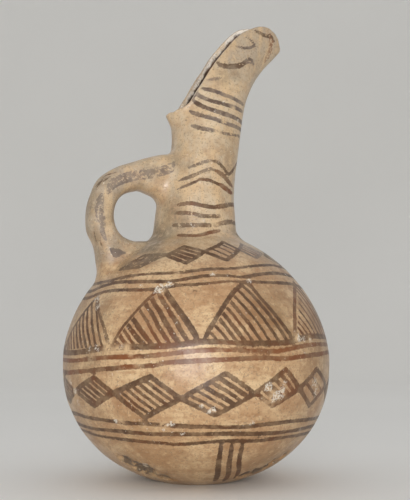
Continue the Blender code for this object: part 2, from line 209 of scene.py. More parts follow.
# Single brush strokes on the belly, neck and beak: width, tone, fading, then angle and height of each mark.
BODY_STROKES = (
    # Sides of the hatched triangles.
    (1.8, 0.3, 0, ((214.8, 67.2), (218.9, 75.8), (222.9, 81.8), (228.3, 89.2), (233, 93.6))),
    (2.9, 0.1, 0, ((235.2, 93.6), (238.4, 89.5), (243.2, 82.9), (247.5, 76.5), (250.8, 69.8))),
    (2.6, 0, 0, ((252.9, 70.6), (256.1, 77), (260.6, 84.3), (266.2, 91.6), (273.3, 97.2))),
    (2.6, 0.1, 0, ((273.3, 97.4), (276.6, 96.1), (280.5, 89.4), (285, 82.4), (289.5, 75.1), (292.4, 70.6))),
    (2, 0.1, 0, ((176, 66.2), (182, 75), (190, 84.6), (196.4, 91.8))),
    (2, 0.2, 0.3, ((196.4, 91.8), (202.8, 83.7), (209.3, 76), (213.8, 67.6))),
    (2.6, 0.5, 0, ((293.4, 71.6), (295.5, 78), (298.5, 84.6), (303, 90.6), (309, 95.4), (316, 99.6))),
    (2.4, 0.1, 0, ((316, 99.6), (322, 91), (329, 80.4), (334.4, 72.6))),
    # A dab between two triangles, and the three strokes below the lowest band, here and behind.
    (1.6, 0, 0, ((248.2, 92.9), (250.6, 93.3), (253, 93.1))),
    (2.6, 0, 0, ((261.4, 23.6), (262.6, 13), (267, 3.4))),
    (2.5, 0.1, 0, ((266.4, 23.6), (269, 12.8), (277, 2.9))),
    (2.4, 0.1, 0, ((271.6, 23.4), (274.3, 14.1), (284, 4.4))),
    (2.4, 0.1, 0.1, ((78, 24), (77, 13), (74, 4))),
    (2.4, 0.1, 0.1, ((83, 24), (83, 13), (83, 3.6))),
    (2.4, 0.1, 0.1, ((88, 24), (89, 13), (92, 4))),
    # Zigzags on the neck, with plainer ones behind.
    (2, -0.4, 0.45, ((231, 158.2), (248, 160.6), (265, 162.4))),
    (2, 0.05, 0.2, ((266, 162.3), (277, 161.4), (290.5, 158.9), (304, 156.3), (322, 161.3), (334, 165))),
    (1.9, -0.3, 0.25, ((219.5, 151.8), (240, 153.8), (255.5, 156.4), (267.5, 157.6), (278, 156.8))),
    (2.7, 0.55, 0.15, ((274, 157), (284, 156), (293, 154.6), (302.8, 152.6), (320, 150.4))),
    (1.6, -0.1, 0, ((220.7, 147.2), (239.4, 149.6), (251.9, 151.4))),
    (2, 0.2, 0, ((249, 152.1), (265.5, 151.8), (279.1, 150.5), (290, 149.4))),
    (2.9, 0.65, 0, ((284, 150.2), (297.3, 148.6), (308, 147.4), (320, 147))),
    (1.9, 0.1, 0.3, ((334, 165), (350, 159), (367, 163.5), (384, 158), (402, 162), (420, 156.5), (440, 161),
        (462, 155.5))),
    (1.9, 0.2, 0.3, ((330, 157.5), (350, 153), (367, 157.5), (384, 152), (402, 156), (420, 150.5), (440, 155),
        (464, 149.5))),
    # Bands on the lower neck. The second and third are nearly gone.
    (2.5, 0.2, 0.2, ((225, 138.9), (243, 139.4), (257, 138.6), (274.6, 137.8), (291.9, 138.9), (319.1, 141),
        (350, 141.5), (385, 141), (430, 140), (490, 139))),
    (2.5, 0.1, 0.3, ((223.1, 134.6), (243.3, 134.4), (264, 132.9), (287.5, 133.4))),
    (2.4, 0.2, 0.36, ((219.6, 128.5), (243.7, 128.2), (263.8, 128.3), (278.3, 128.6), (305.2, 131.1),
        (350, 131.5), (400, 131), (460, 130))),
    (2.6, 0.4, 0.15, ((228.5, 123), (242.7, 122.5), (254.2, 122.8), (268.1, 124.4), (283.5, 125.9))),
    (2, 0.2, 0.4, ((318, 125.5), (350, 125), (400, 124.5), (460, 124))),
    # Slanted stripes below the beak, with plainer ones on its other side.
    (2.4, -0.55, 0.1, ((228, 201.2), (238.5, 200.9), (255.5, 199.8), (273.5, 198), (304.2, 196),
        (322, 195.4))),
    (2.4, -0.6, 0.1, ((214, 199.3), (229.5, 197.1), (254.4, 194.2), (275, 193), (300, 192), (322, 191.6))),
    (2.6, -0.5, 0, ((213, 195), (235, 192.1), (258.5, 189.2), (285, 187.3), (317, 186.2), (336, 186))),
    (2.5, -0.5, 0.05, ((216.4, 189.1), (239.5, 186.5), (263, 184.4), (286.5, 182.5), (321, 182), (338, 182))),
    (2.4, -0.6, 0.25, ((226.7, 181), (247.9, 178.9), (268, 178))),
    (1.8, -0.3, 0.45, ((268, 177.9), (288.4, 177.2), (319.9, 178), (336, 178))),
    (2.2, -0.5, 0.2, ((122, 200.5), (105, 200), (84, 198), (58, 196))),
    (2.2, -0.5, 0.2, ((140, 197), (118, 195), (92, 193.5), (62, 192), (40, 191.6))),
    (2.4, -0.5, 0.15, ((142, 193), (120, 191), (96, 189), (70, 187.4), (40, 186.2))),
    (2.3, -0.5, 0.2, ((140, 187.5), (118, 186), (94, 184.4), (70, 182.8), (40, 182.2))),
    # Faded marks towards the beak's tip.
    (2.9, -0.3, 0.25, ((249, 216), (258, 214.4), (281, 214.9), (294, 217.2))),
    (2.9, -0.6, 0.3, ((292, 217.2), (304.5, 219.9), (316, 218.4))),
    (1.9, -0.4, 0.1, ((286, 232.6), (297, 230.9), (306.5, 228.6))),
    (1.8, -0.4, 0.15, ((272, 226.9), (287, 226.1), (304.5, 228.3))),
    (2.4, -0.1, 0.35, ((296.5, 237.2), (312.7, 235.8), (324.5, 236.2), (334, 234.2))),
    (3.4, 0.9, 0.6, ((322, 237), (331, 233), (338, 228), (342, 223))),
    (1.8, -0.5, 0.45, ((236.5, 205.7), (250, 206.8), (262.6, 207.4))),
    (1.2, -0.6, 0.4, ((212, 184.6), (219, 184.2))),
    # A smeared lozenge beside the handle.
    (4.2, -0.3, 0.4, ((203, 107), (214, 109.2), (226, 111))),
)

# Brush strokes on the handle: width, tone, fading, then each mark's place.
HANDLE_STROKES = (
    (4.8, -0.8, 0.5, ((-12.5, -9.1, 161.2), (-16.8, -9, 159.2), (-22.9, -8.8, 156.6), (-30.5, -8.4, 154.8),
        (-36.4, -8.1, 153.8), (-43.4, -7.9, 151.4), (-47.8, -7.9, 148.6), (-49.6, -7.9, 145))),
    (2.4, -0.8, 0.25, ((-36, -8.1, 152.4), (-43.4, -7.9, 149.6), (-48, -7.9, 146.6), (-49.8, -7.9, 143.4))),
    (4.4, -0.75, 0.5, ((-53.2, -7.6, 142.6), (-54.5, -7.6, 137.7), (-54, -7.9, 132.8), (-52.2, -8, 127.6))),
    (2.8, -0.8, 0.5, ((-52.8, -8, 128), (-52.8, -8, 124.6), (-51.1, -8.4, 120.4))),
    (3, -0.6, 0.05, ((-48.9, -9.3, 115.9), (-45.6, -9.4, 114.6), (-41.6, -9.4, 113.6))),
    (3.2, -0.6, 0.05, ((-48.2, -9.3, 114.8), (-46.6, -9.7, 112.9), (-44.6, -9.6, 112.6))),
    (1.5, 0, 0, ((-56.6, -4.6, 145.4), (-55, -5.4, 148), (-52.6, -6, 150.4))),
    (1.3, 0.1, 0.1, ((-57.8, -3.6, 143.4), (-56.6, -4, 146.4))),
    (1.5, -0.3, 0.2, ((-57.6, -5, 138.6), (-57.8, -4.8, 134.4))),
    (1.3, 0.1, 0, ((-53.2, -3.8, 151), (-49.8, -5.8, 153.3), (-45.6, -7.1, 154.6))),
    (1.2, 0, 0.1, ((-53.3, -6, 148.6), (-50.9, -6.8, 150.7), (-48, -7.2, 152.9))),
    (1.2, -0.1, 0.1, ((-55.3, -3.6, 147.6), (-52.9, -5.4, 150.2), (-50, -6.2, 152.4))),
    (1.2, -0.1, 0, ((-58.6, -1.9, 133.4), (-57.6, -5.4, 132.9))),
    (1.2, -0.1, 0, ((-58.6, -2.1, 129.9), (-57.6, -5.4, 129.4))),
    (1.2, -0.1, 0, ((-58.4, -1.7, 127), (-57.4, -5, 126.5))),
    (1.1, -0.1, 0.15, ((-57.7, -3.7, 125.4), (-56.6, -2, 122))),
    (1.3, 0, 0.2, ((-56.5, -6.4, 126.6), (-55, -4.6, 119))),
    (1.6, 0.1, 0.3, ((-53.6, -7.4, 124.6), (-53, -6.9, 119.4), (-51.8, -7.4, 115.4))),
    (4.2, -0.7, 0.45, ((-16.8, 9, 158.8), (-30.5, 8.4, 154.4), (-43.4, 7.9, 151.4), (-50.4, 7.9, 145.6))),
    (3.6, -0.7, 0.45, ((-53.5, 7.6, 141), (-54.4, 7.7, 135), (-52.8, 8, 128.4))),
)

# Hatched triangles: left corner, top and right corner, tone, width of line, then each hatch line's start and
# end. Corners and ends are in degrees and millimetres of height.
TRIANGLE_LINES = (
    ((214.8, 67), (234.2, 95), (251, 69.2), 0.25, 2.15, (((218, 72.7), (222.3, 68.1)),
        ((220, 74.9), (225.4, 68.3)), ((221.2, 77.2), (229.7, 68)), ((223.4, 79.7), (233, 68)),
        ((226.2, 83.4), (236.2, 68.5)), ((228.3, 86.2), (239.9, 68.5)), ((230.3, 89), (243.4, 69)),
        ((232.7, 92), (247, 69.2)), ((235.2, 93.6), (250.8, 69.8)))),
    ((252.7, 70), (274.2, 98.4), (292.6, 70), 0.1, 1.95, (((254.5, 74.7), (257.8, 70.3)),
        ((256.5, 77.9), (262.1, 69.9)), ((258.7, 80.6), (265.3, 69.9)), ((260.3, 83.2), (268.6, 69.9)),
        ((262.4, 86), (272, 69.9)), ((264.4, 88.6), (275.7, 69.9)), ((266.3, 91.2), (279.9, 70.1)),
        ((269.2, 93.6), (284.3, 70.2)), ((272.4, 95.6), (288.4, 70.4)), ((276.6, 96.6), (292.4, 70.6)))),
    ((176, 65.6), (196.4, 92.4), (214, 67.4), 0.15, 1.7, (((178.4, 69.4), (180.8, 66)),
        ((180.2, 71.8), (184, 66)), ((182, 74.2), (187.2, 66)), ((183.8, 76.6), (190.4, 66.2)),
        ((185.6, 79), (193.6, 66.4)), ((187.4, 81.4), (196.8, 66.6)), ((189.4, 83.8), (200, 66.8)),
        ((191.4, 86.2), (203.2, 67)), ((193.6, 88.6), (206.6, 67.2)), ((195.8, 91), (210.2, 67.4)))),
    ((293.2, 71.8), (316, 100.6), (335, 72.4), 0.3, 1.8, (((296.2, 77), (299.8, 73)),
        ((297.3, 80.2), (303, 73)), ((298.8, 83.4), (306.2, 73)), ((301, 86.6), (310, 73)),
        ((304, 89.8), (314, 73)), ((307.2, 92.6), (318, 73)), ((310.4, 95), (322, 73)),
        ((313, 97.4), (326.4, 73)), ((315.4, 99.4), (330.8, 73)))),
)

# Lozenges: left, top, right and bottom corner, tone, fading, number of hatch lines, width of line and of
# outline.
LOZENGES = (
    ((162.5, 46), (176, 52.6), (190.6, 46), (178, 40.2), 0.1, 0.15, 4, 1.9, 2.2),
    ((190.8, 46.5), (205.6, 53.4), (215.6, 46.2), (203, 39.9), 0.25, 0, 4, 2, 2.6),
    ((215.8, 46.4), (232.6, 54), (244, 44.4), (228.6, 35.6), 0.05, 0, 5, 2, 2.6),
    ((244, 44.5), (261.2, 55.6), (273.2, 46.2), (257.4, 36.8), -0.1, 0.08, 5, 1.9, 2.5),
    ((273.1, 46.7), (287, 57), (295.2, 48), (281.8, 40.6), 0.25, 0.05, 4, 1.9, 2.5),
    ((295.2, 47.9), (307.4, 56.8), (320.6, 48.8), (305.2, 39.4), 0.2, 0.15, 2, 1.9, 2.6),
    ((230, 111), (240.3, 115.9), (256, 113.2), (243.9, 106.5), 0, 0, 3, 2.2, 2.4),
    ((255.2, 113.2), (276.1, 119.4), (284, 115), (268.5, 108.8), -0.1, 0, 3, 2, 2.4),
    ((284, 115), (297, 119), (310, 114.6), (293, 110.8), -0.7, 0.3, 3, 1.7, 2),
    ((200, 104.8), (212, 111.8), (229.6, 111.4), (216, 105), -0.2, 0.3, 3, 2.6, 2.2),
)

# The rows go on round the back. Chains of lozenges: first and last angle, how many, middle height, half
# height and hatch lines. Triangles: first and last angle, how many, heights of base and top at either end.
CHAINS_BEHIND = ((320.6, 522.5, 8, 46.6, 8.6, 4), (310.0, 516.0, 7, 112.6, 4.2, 3))
TRIANGLES_BEHIND = (335.0, 536.0, 5, (72.4, 66.0), (99.0, 92.4))

# Wear and dirt: angle, height, radius and strength of each spot. Soil alone has its place in x, y and z.
# Spalls are scorched and pressed in, and chips are pressed in. Stains and dirt at the belly's sides are also
# painted shade.
LIME = (
    (233.1, 93.6, 2.4, 1), (236.8, 95.2, 1.9, 1), (230.4, 92.4, 1.5, 0.8), (222.7, 95.4, 1.1, 0.9),
    (196.8, 90, 2.6, 0.7), (199.5, 86, 2.2, 0.6), (207, 66.8, 2, 0.9), (202.5, 66, 1.6, 0.8),
    (219.6, 67.8, 2.2, 0.6), (277.3, 98.2, 1.3, 1), (275, 97.6, 1, 0.8), (296.4, 71.6, 1.9, 1),
    (299.5, 71.4, 1.8, 0.9), (304, 71, 1.6, 0.8), (284.7, 46.3, 3, 1), (279, 49, 3, 0.9), (282, 43.6, 2, 0.8),
    (287, 51, 2.2, 0.8), (306.5, 50.5, 3, 0.7), (309, 45, 3, 0.7), (189.6, 45.8, 2.6, 0.7),
    (186, 50, 2.6, 0.6), (190.4, 41.1, 2, 0.6), (256, 39, 2.2, 0.8), (252, 41, 1.6, 0.7),
    (273, 33.4, 2.4, 0.6), (305.9, 28.2, 2.4, 0.6), (309.5, 186.1, 1.2, 1), (274.2, 194.1, 1.2, 1),
    (262, 188.6, 1, 0.7), (286, 185, 1, 0.7), (219, 12, 2.6, 0.8), (228.6, 43.6, 1.5, 0.5),
    (239.5, 32.5, 1.7, 1), (236, 30.4, 1.3, 0.9), (244, 28.4, 1.2, 0.9), (214, 33.4, 1.2, 0.9),
    (298.4, 64.9, 1.2, 0.6), (312, 103, 1.4, 0.7), (258, 101, 1.5, 0.8), (266, 101, 1.3, 0.7),
    (246, 128.2, 2, 0.5), (262, 131, 2.2, 0.4), (40, 88, 2.2, 0.8), (86, 62, 2, 0.8), (131, 47, 2.4, 0.7),
    (12, 33, 1.8, 0.8),
)
# Soil spots at the belly's sides, with x near 60 and -60, darken them as painted shade.
SOIL_AND_SIDE_SHADE = (
    (-58, -4, 138, 10, 0.4), (-56, -6, 124, 8, 0.45), (-54, -8, 112, 7, 0.35), (-50, -6, 150, 7, 0.4),
    (-28, -7, 156, 6, 0.35), (-42, -8, 140, 5, 0.3), (-17, -14, 142, 7, 0.4), (-13, -16, 130, 7, 0.45),
    (24, 4, 224, 5, 0.3), (60, -22, 84, 14, 0.5), (62, -24, 42, 12, 0.4), (-62, -28, 62, 10, 0.3),
    (-22.7, -8.1, 124, 12, 0.75), (-31, -17.4, 116, 9, 0.8), (-20.2, -10.4, 134.3, 8, 0.55),
    (-14.2, -9, 163, 5, 0.7), (-14.6, -9.4, 172, 5, 0.5), (-26, -13, 119, 8, 0.7), (-32, -26, 110, 9, 0.6),
    (-35, 0, 121, 12, 0.6), (-24, 12, 122, 10, 0.6), (-20, 9, 140, 9, 0.4), (-41, -17, 106, 6, 0.5),
    (-45, -4, 146, 7, 0.3), (-13, -17, 160, 5, 0.45), (-12, -15, 178, 6, 0.35), (-46, -8, 118, 5, 0.4),
    (-50, -7, 131, 5, 0.35), (-33, -8, 149, 4, 0.35), (6, -24, 118, 6, 0.35), (19, -13, 126, 7, 0.5),
    (28, -26, 112, 8, 0.5), (14, -14, 212, 6, 0.45), (9, -16, 208, 5, 0.4), (-58, -26, 88, 8, 0.35),
    (-60, -20, 48, 9, 0.35), (30, 30, 112, 10, 0.4), (-30, 40, 100, 9, 0.35), (10, 60, 40, 10, 0.3),
)
# The stains at the belly's sides darken them as painted shade as well.
STAINS_AND_SIDE_SHADE = (
    (285, 82, 14, 1.2), (290, 90, 12, 1), (312, 62, 18, 1), (318, 80, 18, 1.1), (186, 60, 18, 0.7),
    (180, 84, 16, 0.7), (206, 80, 9, 0.5), (218, 20, 20, 0.5), (196, 34, 16, 0.55), (300, 12, 18, 0.8),
    (268, 8, 16, 0.6), (232, 8, 20, 0.5), (305, 36, 13, 0.4), (304, 165, 9, 1), (300, 178, 7, 0.8),
    (318, 150, 9, 0.7), (212, 168, 12, 0.5), (219, 128, 8, 0.8), (226, 116, 9, 0.6), (296, 112, 15, 0.7),
    (282, 224, 9, 0.5), (320, 226, 12, 0.6), (240, 214, 6, 0.4), (204, 100, 8, 0.4), (60, 70, 26, 0.5),
    (120, 40, 22, 0.5), (20, 50, 22, 0.6), (95, 100, 20, 0.5), (150, 76, 18, 0.5), (60, 170, 12, 0.5),
)
FLAKES = (
    (216.3, 33.6, 2.2, 1), (236.1, 32.5, 2.6, 1), (232.9, 30.6, 2.4, 0.8), (228, 31, 2.2, 0.7),
    (252.4, 29.8, 1.8, 0.7), (263, 33.4, 1.8, 0.7), (213.3, 67.2, 3, 1), (218.3, 66.7, 2.6, 1),
    (223, 65.8, 3, 1), (227.1, 60.5, 2, 0.8), (230.8, 61, 1.6, 0.8), (234.6, 92.8, 2.2, 0.9),
    (239.1, 90.4, 1.8, 0.9), (294.6, 71.9, 2.6, 1), (303.6, 71, 2.4, 0.9), (280.9, 45.1, 5, 0.8),
    (286.4, 48.6, 3.6, 0.7), (278.6, 41.6, 3, 0.7), (290.7, 132.6, 2.6, 0.8), (278.4, 129.1, 3, 0.8),
    (278.5, 183.8, 1.6, 1), (292.9, 191.6, 1.6, 0.9), (268, 178.4, 2.6, 1), (249.7, 104.1, 1.6, 0.8),
    (239.4, 101.1, 1.6, 0.7), (190, 45, 2.6, 0.7), (204, 62, 2.4, 0.8), (310, 50, 3.4, 0.6),
    (258, 101.4, 1.6, 0.7), (60, 67, 3, 0.8), (110, 31, 3, 0.8), (24, 99, 2.6, 0.8),
)
SPALLS = (
    (213, 9.6, 6.5, 1.2), (206, 13.5, 4.5, 1), (224, 5.2, 4.5, 0.8), (292, 5.6, 4, 1), (299, 7.8, 4.2, 1.1),
    (306, 11, 4.2, 1.1), (312, 13.6, 3.6, 0.9), (30, 11, 5, 0.8),
)
CHIPS = (
    (250.6, 93.4, 1.6, 0.35), (234.6, 94.6, 2.4, 0.35), (277, 98, 1.5, 0.3), (297.6, 71.6, 2.2, 0.3),
    (256.4, 40, 2, 0.3), (283, 46, 3, 0.3), (307, 49, 2.4, 0.3), (274.2, 194.1, 1.4, 0.35),
    (309.5, 186.1, 1.3, 0.35), (239.5, 32.3, 1.8, 0.3), (86, 62, 2.4, 0.35), (12, 33, 2, 0.3),
)


def linear(hex_colour):
    """A linear colour from an sRGB hex value."""
    parts = [(hex_colour >> shift & 255) / 255 for shift in (16, 8, 0)]
    return *(c / 12.92 if c <= 0.04045 else ((c + 0.055) / 1.055) ** 2.4 for c in parts), 1.0


def share_left(share, fullness):
    """The other coordinate of a unit superellipse, so that both raised to the fullness add up to 1."""
    return (1 - share**fullness) ** (1 / fullness)


def shoulder_height(radius):
    """The shoulder's height at a radius: a quarter of a superellipse above the widest circle."""
    return BELLY_HEIGHT + SHOULDER_RISE * share_left(radius / BELLY_RADIUS, SHOULDER_FULLNESS)


def columns(count):
    """Angles round the jug, from 0 at the beak through half a turn at the handle."""
    return np.linspace(0, 2 * math.pi, count, endpoint=False)


def oval_ring(theta, rear, front, half_width):
    """An oval in a tilted plane: x and z run from front to rear by (1 - cos) / 2, and y is half_width times
    sin."""
    share = (1 - np.cos(theta)) / 2
    x = front[0] + (rear[0] - front[0]) * share
    z = front[1] + (rear[1] - front[1]) * share
    return np.stack([x, half_width * np.sin(theta), z], -1)


def round_ring(theta, radius, lean, height):
    """A level circle, moved by its lean along X."""
    return oval_ring(theta, (lean - radius, height), (lean + radius, height), radius)


def smooth_loop(stations, at):
    """A closed cubic spline through evenly spaced stations, read at loop positions from 0 to 1."""
    count = len(stations)
    bend = np.roll(stations, -1, 0) - 2 * stations + np.roll(stations, 1, 0)
    ones = np.eye(count)
    curve = np.linalg.solve((4 * ones + np.roll(ones, 1, 0) + np.roll(ones, -1, 0)) / 6, bend)
    place = np.asarray(at) * count
    low = np.floor(place).astype(int) % count
    high = (low + 1) % count
    t = (place % 1)[:, None]
    straight = stations[low] * (1 - t) + stations[high] * t
    return straight + ((t**3 - t) * curve[high] + ((1 - t) ** 3 - (1 - t)) * curve[low]) / 6


def rim_ring(theta, origin):
    """The rim's closed curve through the stations of RIM and their mirror, slanted up towards +Y over the
    beak."""
    side = np.array(RIM)[:, (0, 2, 1)]
    ring = smooth_loop(np.concatenate([side, side[-2:0:-1] * (1, -1, 1)]), theta / (2 * math.pi))
    ring[:, 2] += RIM_SLANT * np.clip(ring[:, 0] / RIM[3][0], 0, 1) * ring[:, 1]
    return ring + origin


def hermite(a, ta, b, tb, count):
    """Rings between ring a and ring b, without a and with b: the cubic that leaves along ta and arrives along
    tb."""
    t = np.linspace(0, 1, count + 1)[1:, None, None]
    return (
        (2 * t**3 - 3 * t**2 + 1) * a
        + (t**3 - 2 * t**2 + t) * ta
        + (3 * t**2 - 2 * t**3) * b
        + (t**3 - t**2) * tb
    )


def loft(rings, start, counts):
    """Cubic rings through all the given ones. A tangent weighs its two chords by the other one's length."""
    chords = np.diff(rings, axis=0)
    lengths = np.linalg.norm(chords, axis=2, keepdims=True)
    slopes = chords / lengths
    inner = (slopes[:-1] * lengths[1:] + slopes[1:] * lengths[:-1]) / (lengths[:-1] + lengths[1:])
    tangents = np.concatenate([start[None], inner, slopes[-1:]])
    return np.concatenate([
        hermite(rings[k], tangents[k] * lengths[k], rings[k + 1], tangents[k + 1] * lengths[k], count)
        for k, count in enumerate(counts)
    ])


def half_belly(theta, angles, rise, fullness):
    """Level circles of radius R cos^p and height rise sin^p, with p = 2 / fullness."""
    power = 2 / fullness
    return [
        round_ring(
            theta,
            BELLY_RADIUS * math.cos(angle) ** power,
            0,
            BELLY_HEIGHT + rise * math.sin(abs(angle)) ** power,
        )
        for angle in angles
    ]


def belly_rings(theta):
    """Level circles up the belly from the foot's edge, through the widest circle, to the neck's fillet."""
    under_depth = BELLY_HEIGHT / share_left(FOOT_RADIUS / BELLY_RADIUS, LOWER_FULLNESS)
    low = math.acos((FOOT_RADIUS / BELLY_RADIUS) ** (LOWER_FULLNESS / 2))
    high = math.acos(((NECK_ROOT_RADIUS + ROOT_FILLET) / BELLY_RADIUS) ** (SHOULDER_FULLNESS / 2))
    under = np.linspace(low, 0, LOWER_ROWS + 1)
    over = np.linspace(0, high, SHOULDER_ROWS + 1)[1:]
    lower = half_belly(theta, under, -under_depth, LOWER_FULLNESS)
    return np.array(lower + half_belly(theta, over, SHOULDER_RISE, SHOULDER_FULLNESS))


def outer_rings(theta):
    """The jug's outside as rings from the foot's edge to the rim, and the rows where the neck and the beak
    begin."""
    base = shoulder_height(NECK_ROOT_RADIUS)
    belly = belly_rings(theta)
    root = round_ring(theta, NECK_ROOT_RADIUS, NECK_ROOT_LEAN, base + ROOT_FILLET)
    middle = round_ring(theta, NECK_MID_RADIUS, NECK_MID_LEAN, base + NECK_MID_HEIGHT)
    top = round_ring(theta, NECK_TOP_RADIUS, NECK_TOP_LEAN, base + NECK_TOP_HEIGHT)
    origin = np.array([NECK_TOP_LEAN, 0, base + NECK_TOP_HEIGHT])
    rear, front = (origin[[0, 2]] + point for point in (THROAT_REAR, THROAT_FRONT))
    throat = oval_ring(theta, rear, front, THROAT_HALF_WIDTH)
    rim = rim_ring(theta, origin)
    beak = (throat + rim) / 2
    beak[:, 0] -= UNDERSIDE_TUCK * np.clip(np.cos(theta), 0, 1) ** 2

    leave = belly[-1] - belly[-2]
    leave /= np.linalg.norm(leave, axis=1, keepdims=True)
    rise = middle - root
    rise /= np.linalg.norm(rise, axis=1, keepdims=True)
    pull = FILLET_PULL * ROOT_FILLET
    fillet = hermite(belly[-1], leave * pull, root, rise * pull, FILLET_ROWS)
    below = NECK_ROWS // 3
    third = BEAK_ROWS // 3
    sections = np.array([root, middle, top, throat, beak, rim])
    upper = loft(sections, rise, [below, NECK_ROWS - below, third, third, BEAK_ROWS - 2 * third])
    belly_end = len(belly)
    return np.concatenate([belly, fillet, upper]), (belly_end, belly_end + FILLET_ROWS + NECK_ROWS)


def wall_thickness(count, starts):
    """The wall of each row, in straight steps between the named thicknesses."""
    belly_end, neck_end = starts
    at = (0, belly_end // 3, belly_end, neck_end, (neck_end + count) // 2, count - 1)
    walls = (FOOT_WALL, BELLY_WALL, NECK_WALL, NECK_WALL, BEAK_WALL, LIP_WALL)
    return np.interp(np.arange(count), at, walls)[:, None, None]


def outward(rings):
    """Unit normals and unit upward tangents of a grid of rings, from its neighbours' differences."""
    up = np.gradient(rings, axis=0)
    along = np.roll(rings, -1, axis=1) - np.roll(rings, 1, axis=1)
    normal = np.cross(along, up)
    normal /= np.linalg.norm(normal, axis=2, keepdims=True)
    return normal, up / np.linalg.norm(up, axis=2, keepdims=True)


def lattice_noise(points, size, seed):
    """Smooth noise from 0 to 1: random values on a cubic lattice of that size in mm, blended by
    3t^2 - 2t^3."""
    table = np.random.default_rng(seed).random((32, 32, 32))
    place = np.asarray(points) / size + 100.0
    cell = np.floor(place).astype(int)
    t = place - cell
    t = t * t * (3 - 2 * t)
    total = 0.0
    for corner in np.ndindex(2, 2, 2):
        weight = np.prod(np.where(np.array(corner), t, 1 - t), axis=-1)
        index = (cell + corner) % 32
        total = total + weight * table[index[..., 0], index[..., 1], index[..., 2]]
    return total


def joined(low, below, high, above):
    """Faces between two rings that start at vertices low and high and hold below and above points. The counts
    are equal, or one is twice the other, or one is a single pole."""
    k = np.arange(max(below, above))
    n = (k + 1) % len(k)
    if below == above:
        return [np.stack([low + k, low + n, high + n, high + k], -1)]
    if above == 1:
        return [np.stack([low + k, low + n, np.full_like(k, high)], -1)]
    if below == 1:
        return [np.stack([np.full_like(k, low), high + n, high + k], -1)]
    j = np.arange(min(below, above))
    m = (j + 1) % len(j)
    odd = 2 * j + 1
    even = (2 * j + 2) % len(k)
    if below == 2 * above:
        return [
            np.stack([low + 2 * j, low + odd, high + j], -1),
            np.stack([low + odd, low + even, high + m], -1),
            np.stack([low + odd, high + m, high + j], -1),
        ]
    return [
        np.stack([low + j, high + odd, high + 2 * j], -1),
        np.stack([low + m, high + even, high + odd], -1),
        np.stack([low + j, low + m, high + odd], -1),
    ]


def skin(name, rings, slots, materials):
    """A closed mesh object from rings of points in mm, with a material slot for each gap between rings."""
    starts = np.cumsum([0] + [len(ring) for ring in rings])
    faces, marks = [], []
    for k, slot in enumerate(slots):
        for block in joined(starts[k], len(rings[k]), starts[k + 1], len(rings[k + 1])):
            faces += block.tolist()
            marks += [slot] * len(block)
    mesh = bpy.data.meshes.new(name)
    mesh.from_pydata((np.concatenate(rings) * MM).tolist(), [], faces)
    for material in materials:
        mesh.materials.append(material)
    mesh.polygons.foreach_set("material_index", marks)
    mesh.update()
    obj = bpy.data.objects.new(name, mesh)
    bpy.context.scene.collection.objects.link(obj)
    return obj


def uneven(points, depth):
    """Hollows and swellings of a hand-built wall in mm, about zero: lumps of 34 mm and finger marks of
    11 mm."""
    wide = lattice_noise(points, 34.0, 11)
    fine = lattice_noise(points * (1, 1, 1.6), 11.0, 12)
    return depth * (0.7 * wide + 0.3 * fine - 0.5)


def held_in(rings, limit):
    """Points whose distance r from the axis eases off under the limit in mm, to
    limit - ease * ln(1 + exp((limit - r) / ease))."""
    ease = 0.12
    radius = np.hypot(rings[..., 0], rings[..., 1])
    share = (limit - ease * np.logaddexp(0, (limit - radius) / ease)) / np.maximum(radius, 1e-6)
    return rings * np.stack([share, share, np.ones_like(share)], -1)


def shell(settings):
    """All rings of the shell, from the foot's middle up the outside, over the lip and down the inside, and
    their material slots."""
    fine, starts = outer_rings(columns(BELLY_COLUMNS))
    outer = fine[:, ::2]
    wall = wall_thickness(len(outer), starts)
    normal, up = outward(outer)
    inner = (outer - normal * wall)[:, ::2]
    inner[0] = outer[0, ::2] * (1 - FOOT_WALL / FOOT_RADIUS / 2) + (0, 0, FOOT_WALL)
    belly_end = starts[0]

    fine_normal, _ = outward(fine)
    fine = fine - fine_normal * uneven(fine, settings.unevenness)[..., None]
    fine = held_in(fine, BELLY_RADIUS - CIRCLE_GAP)

    # The lip is bitten and worn down, which fades out over the beak's last rows, and its crown is rounded.
    bites = 0.6 * lattice_noise(outer[-1], 7.0, 21) + 0.4 * lattice_noise(outer[-1], 2.6, 22)
    wear = settings.lip_wear * np.clip(bites * 2.0 - 0.6, 0, 1)
    drop = np.linspace(0, 1, len(outer))[:, None] ** 24 * wear
    outer = fine[:, ::2] - up * drop[..., None]
    half = wall[-1] / 2
    crown = [
        outer[-1] - half * normal[-1] + half * (math.cos(a) * normal[-1] + 0.8 * math.sin(a) * up[-1])
        for a in np.linspace(0, math.pi, LIP_ROWS + 2)[1:-1]
    ]
    inner[-1] -= up[-1, ::2] * wear[::2, None]

    # The foot is flat, and closed by two rings and a pole.
    foot = fine[0] * (1, 1, 0)
    under = [np.zeros((1, 3)), foot[::4] * (0.35, 0.35, 0), foot[::2] * (0.7, 0.7, 0)]
    fine[:belly_end, :, 2] = np.maximum(fine[:belly_end, :, 2], 0)
    fine[0, :, 2] = 0
    down = list(inner[::-1][::INNER_STEP])
    if (len(inner) - 1) % INNER_STEP:
        down.append(inner[0])
    floor = inner[0].mean(0, keepdims=True)
    outside = under + list(fine[:belly_end]) + list(outer[belly_end:])
    rings = outside + crown + down + [floor]
    slots = [0] * (len(outside) + len(crown) - 1) + [1] * (len(down) + 1)
    return rings, slots


def spline(points, count):
    """A smooth open curve through the points, as Catmull-Rom spans, with count + 1 even parameter steps."""
    points = np.array(points, float)
    padded = np.concatenate([[2 * points[0] - points[1]], points, [2 * points[-1] - points[-2]]])
    at = np.linspace(0, len(points) - 1, count + 1)
    span = np.minimum(at.astype(int), len(points) - 2)
    t = (at - span)[:, None]
    a, b, c, d = (padded[span + k] for k in range(4))
    return 0.5 * (2 * b + (c - a) * t + (2 * a - 5 * b + 4 * c - d) * t**2 + (3 * b - a - 3 * c + d) * t**3)


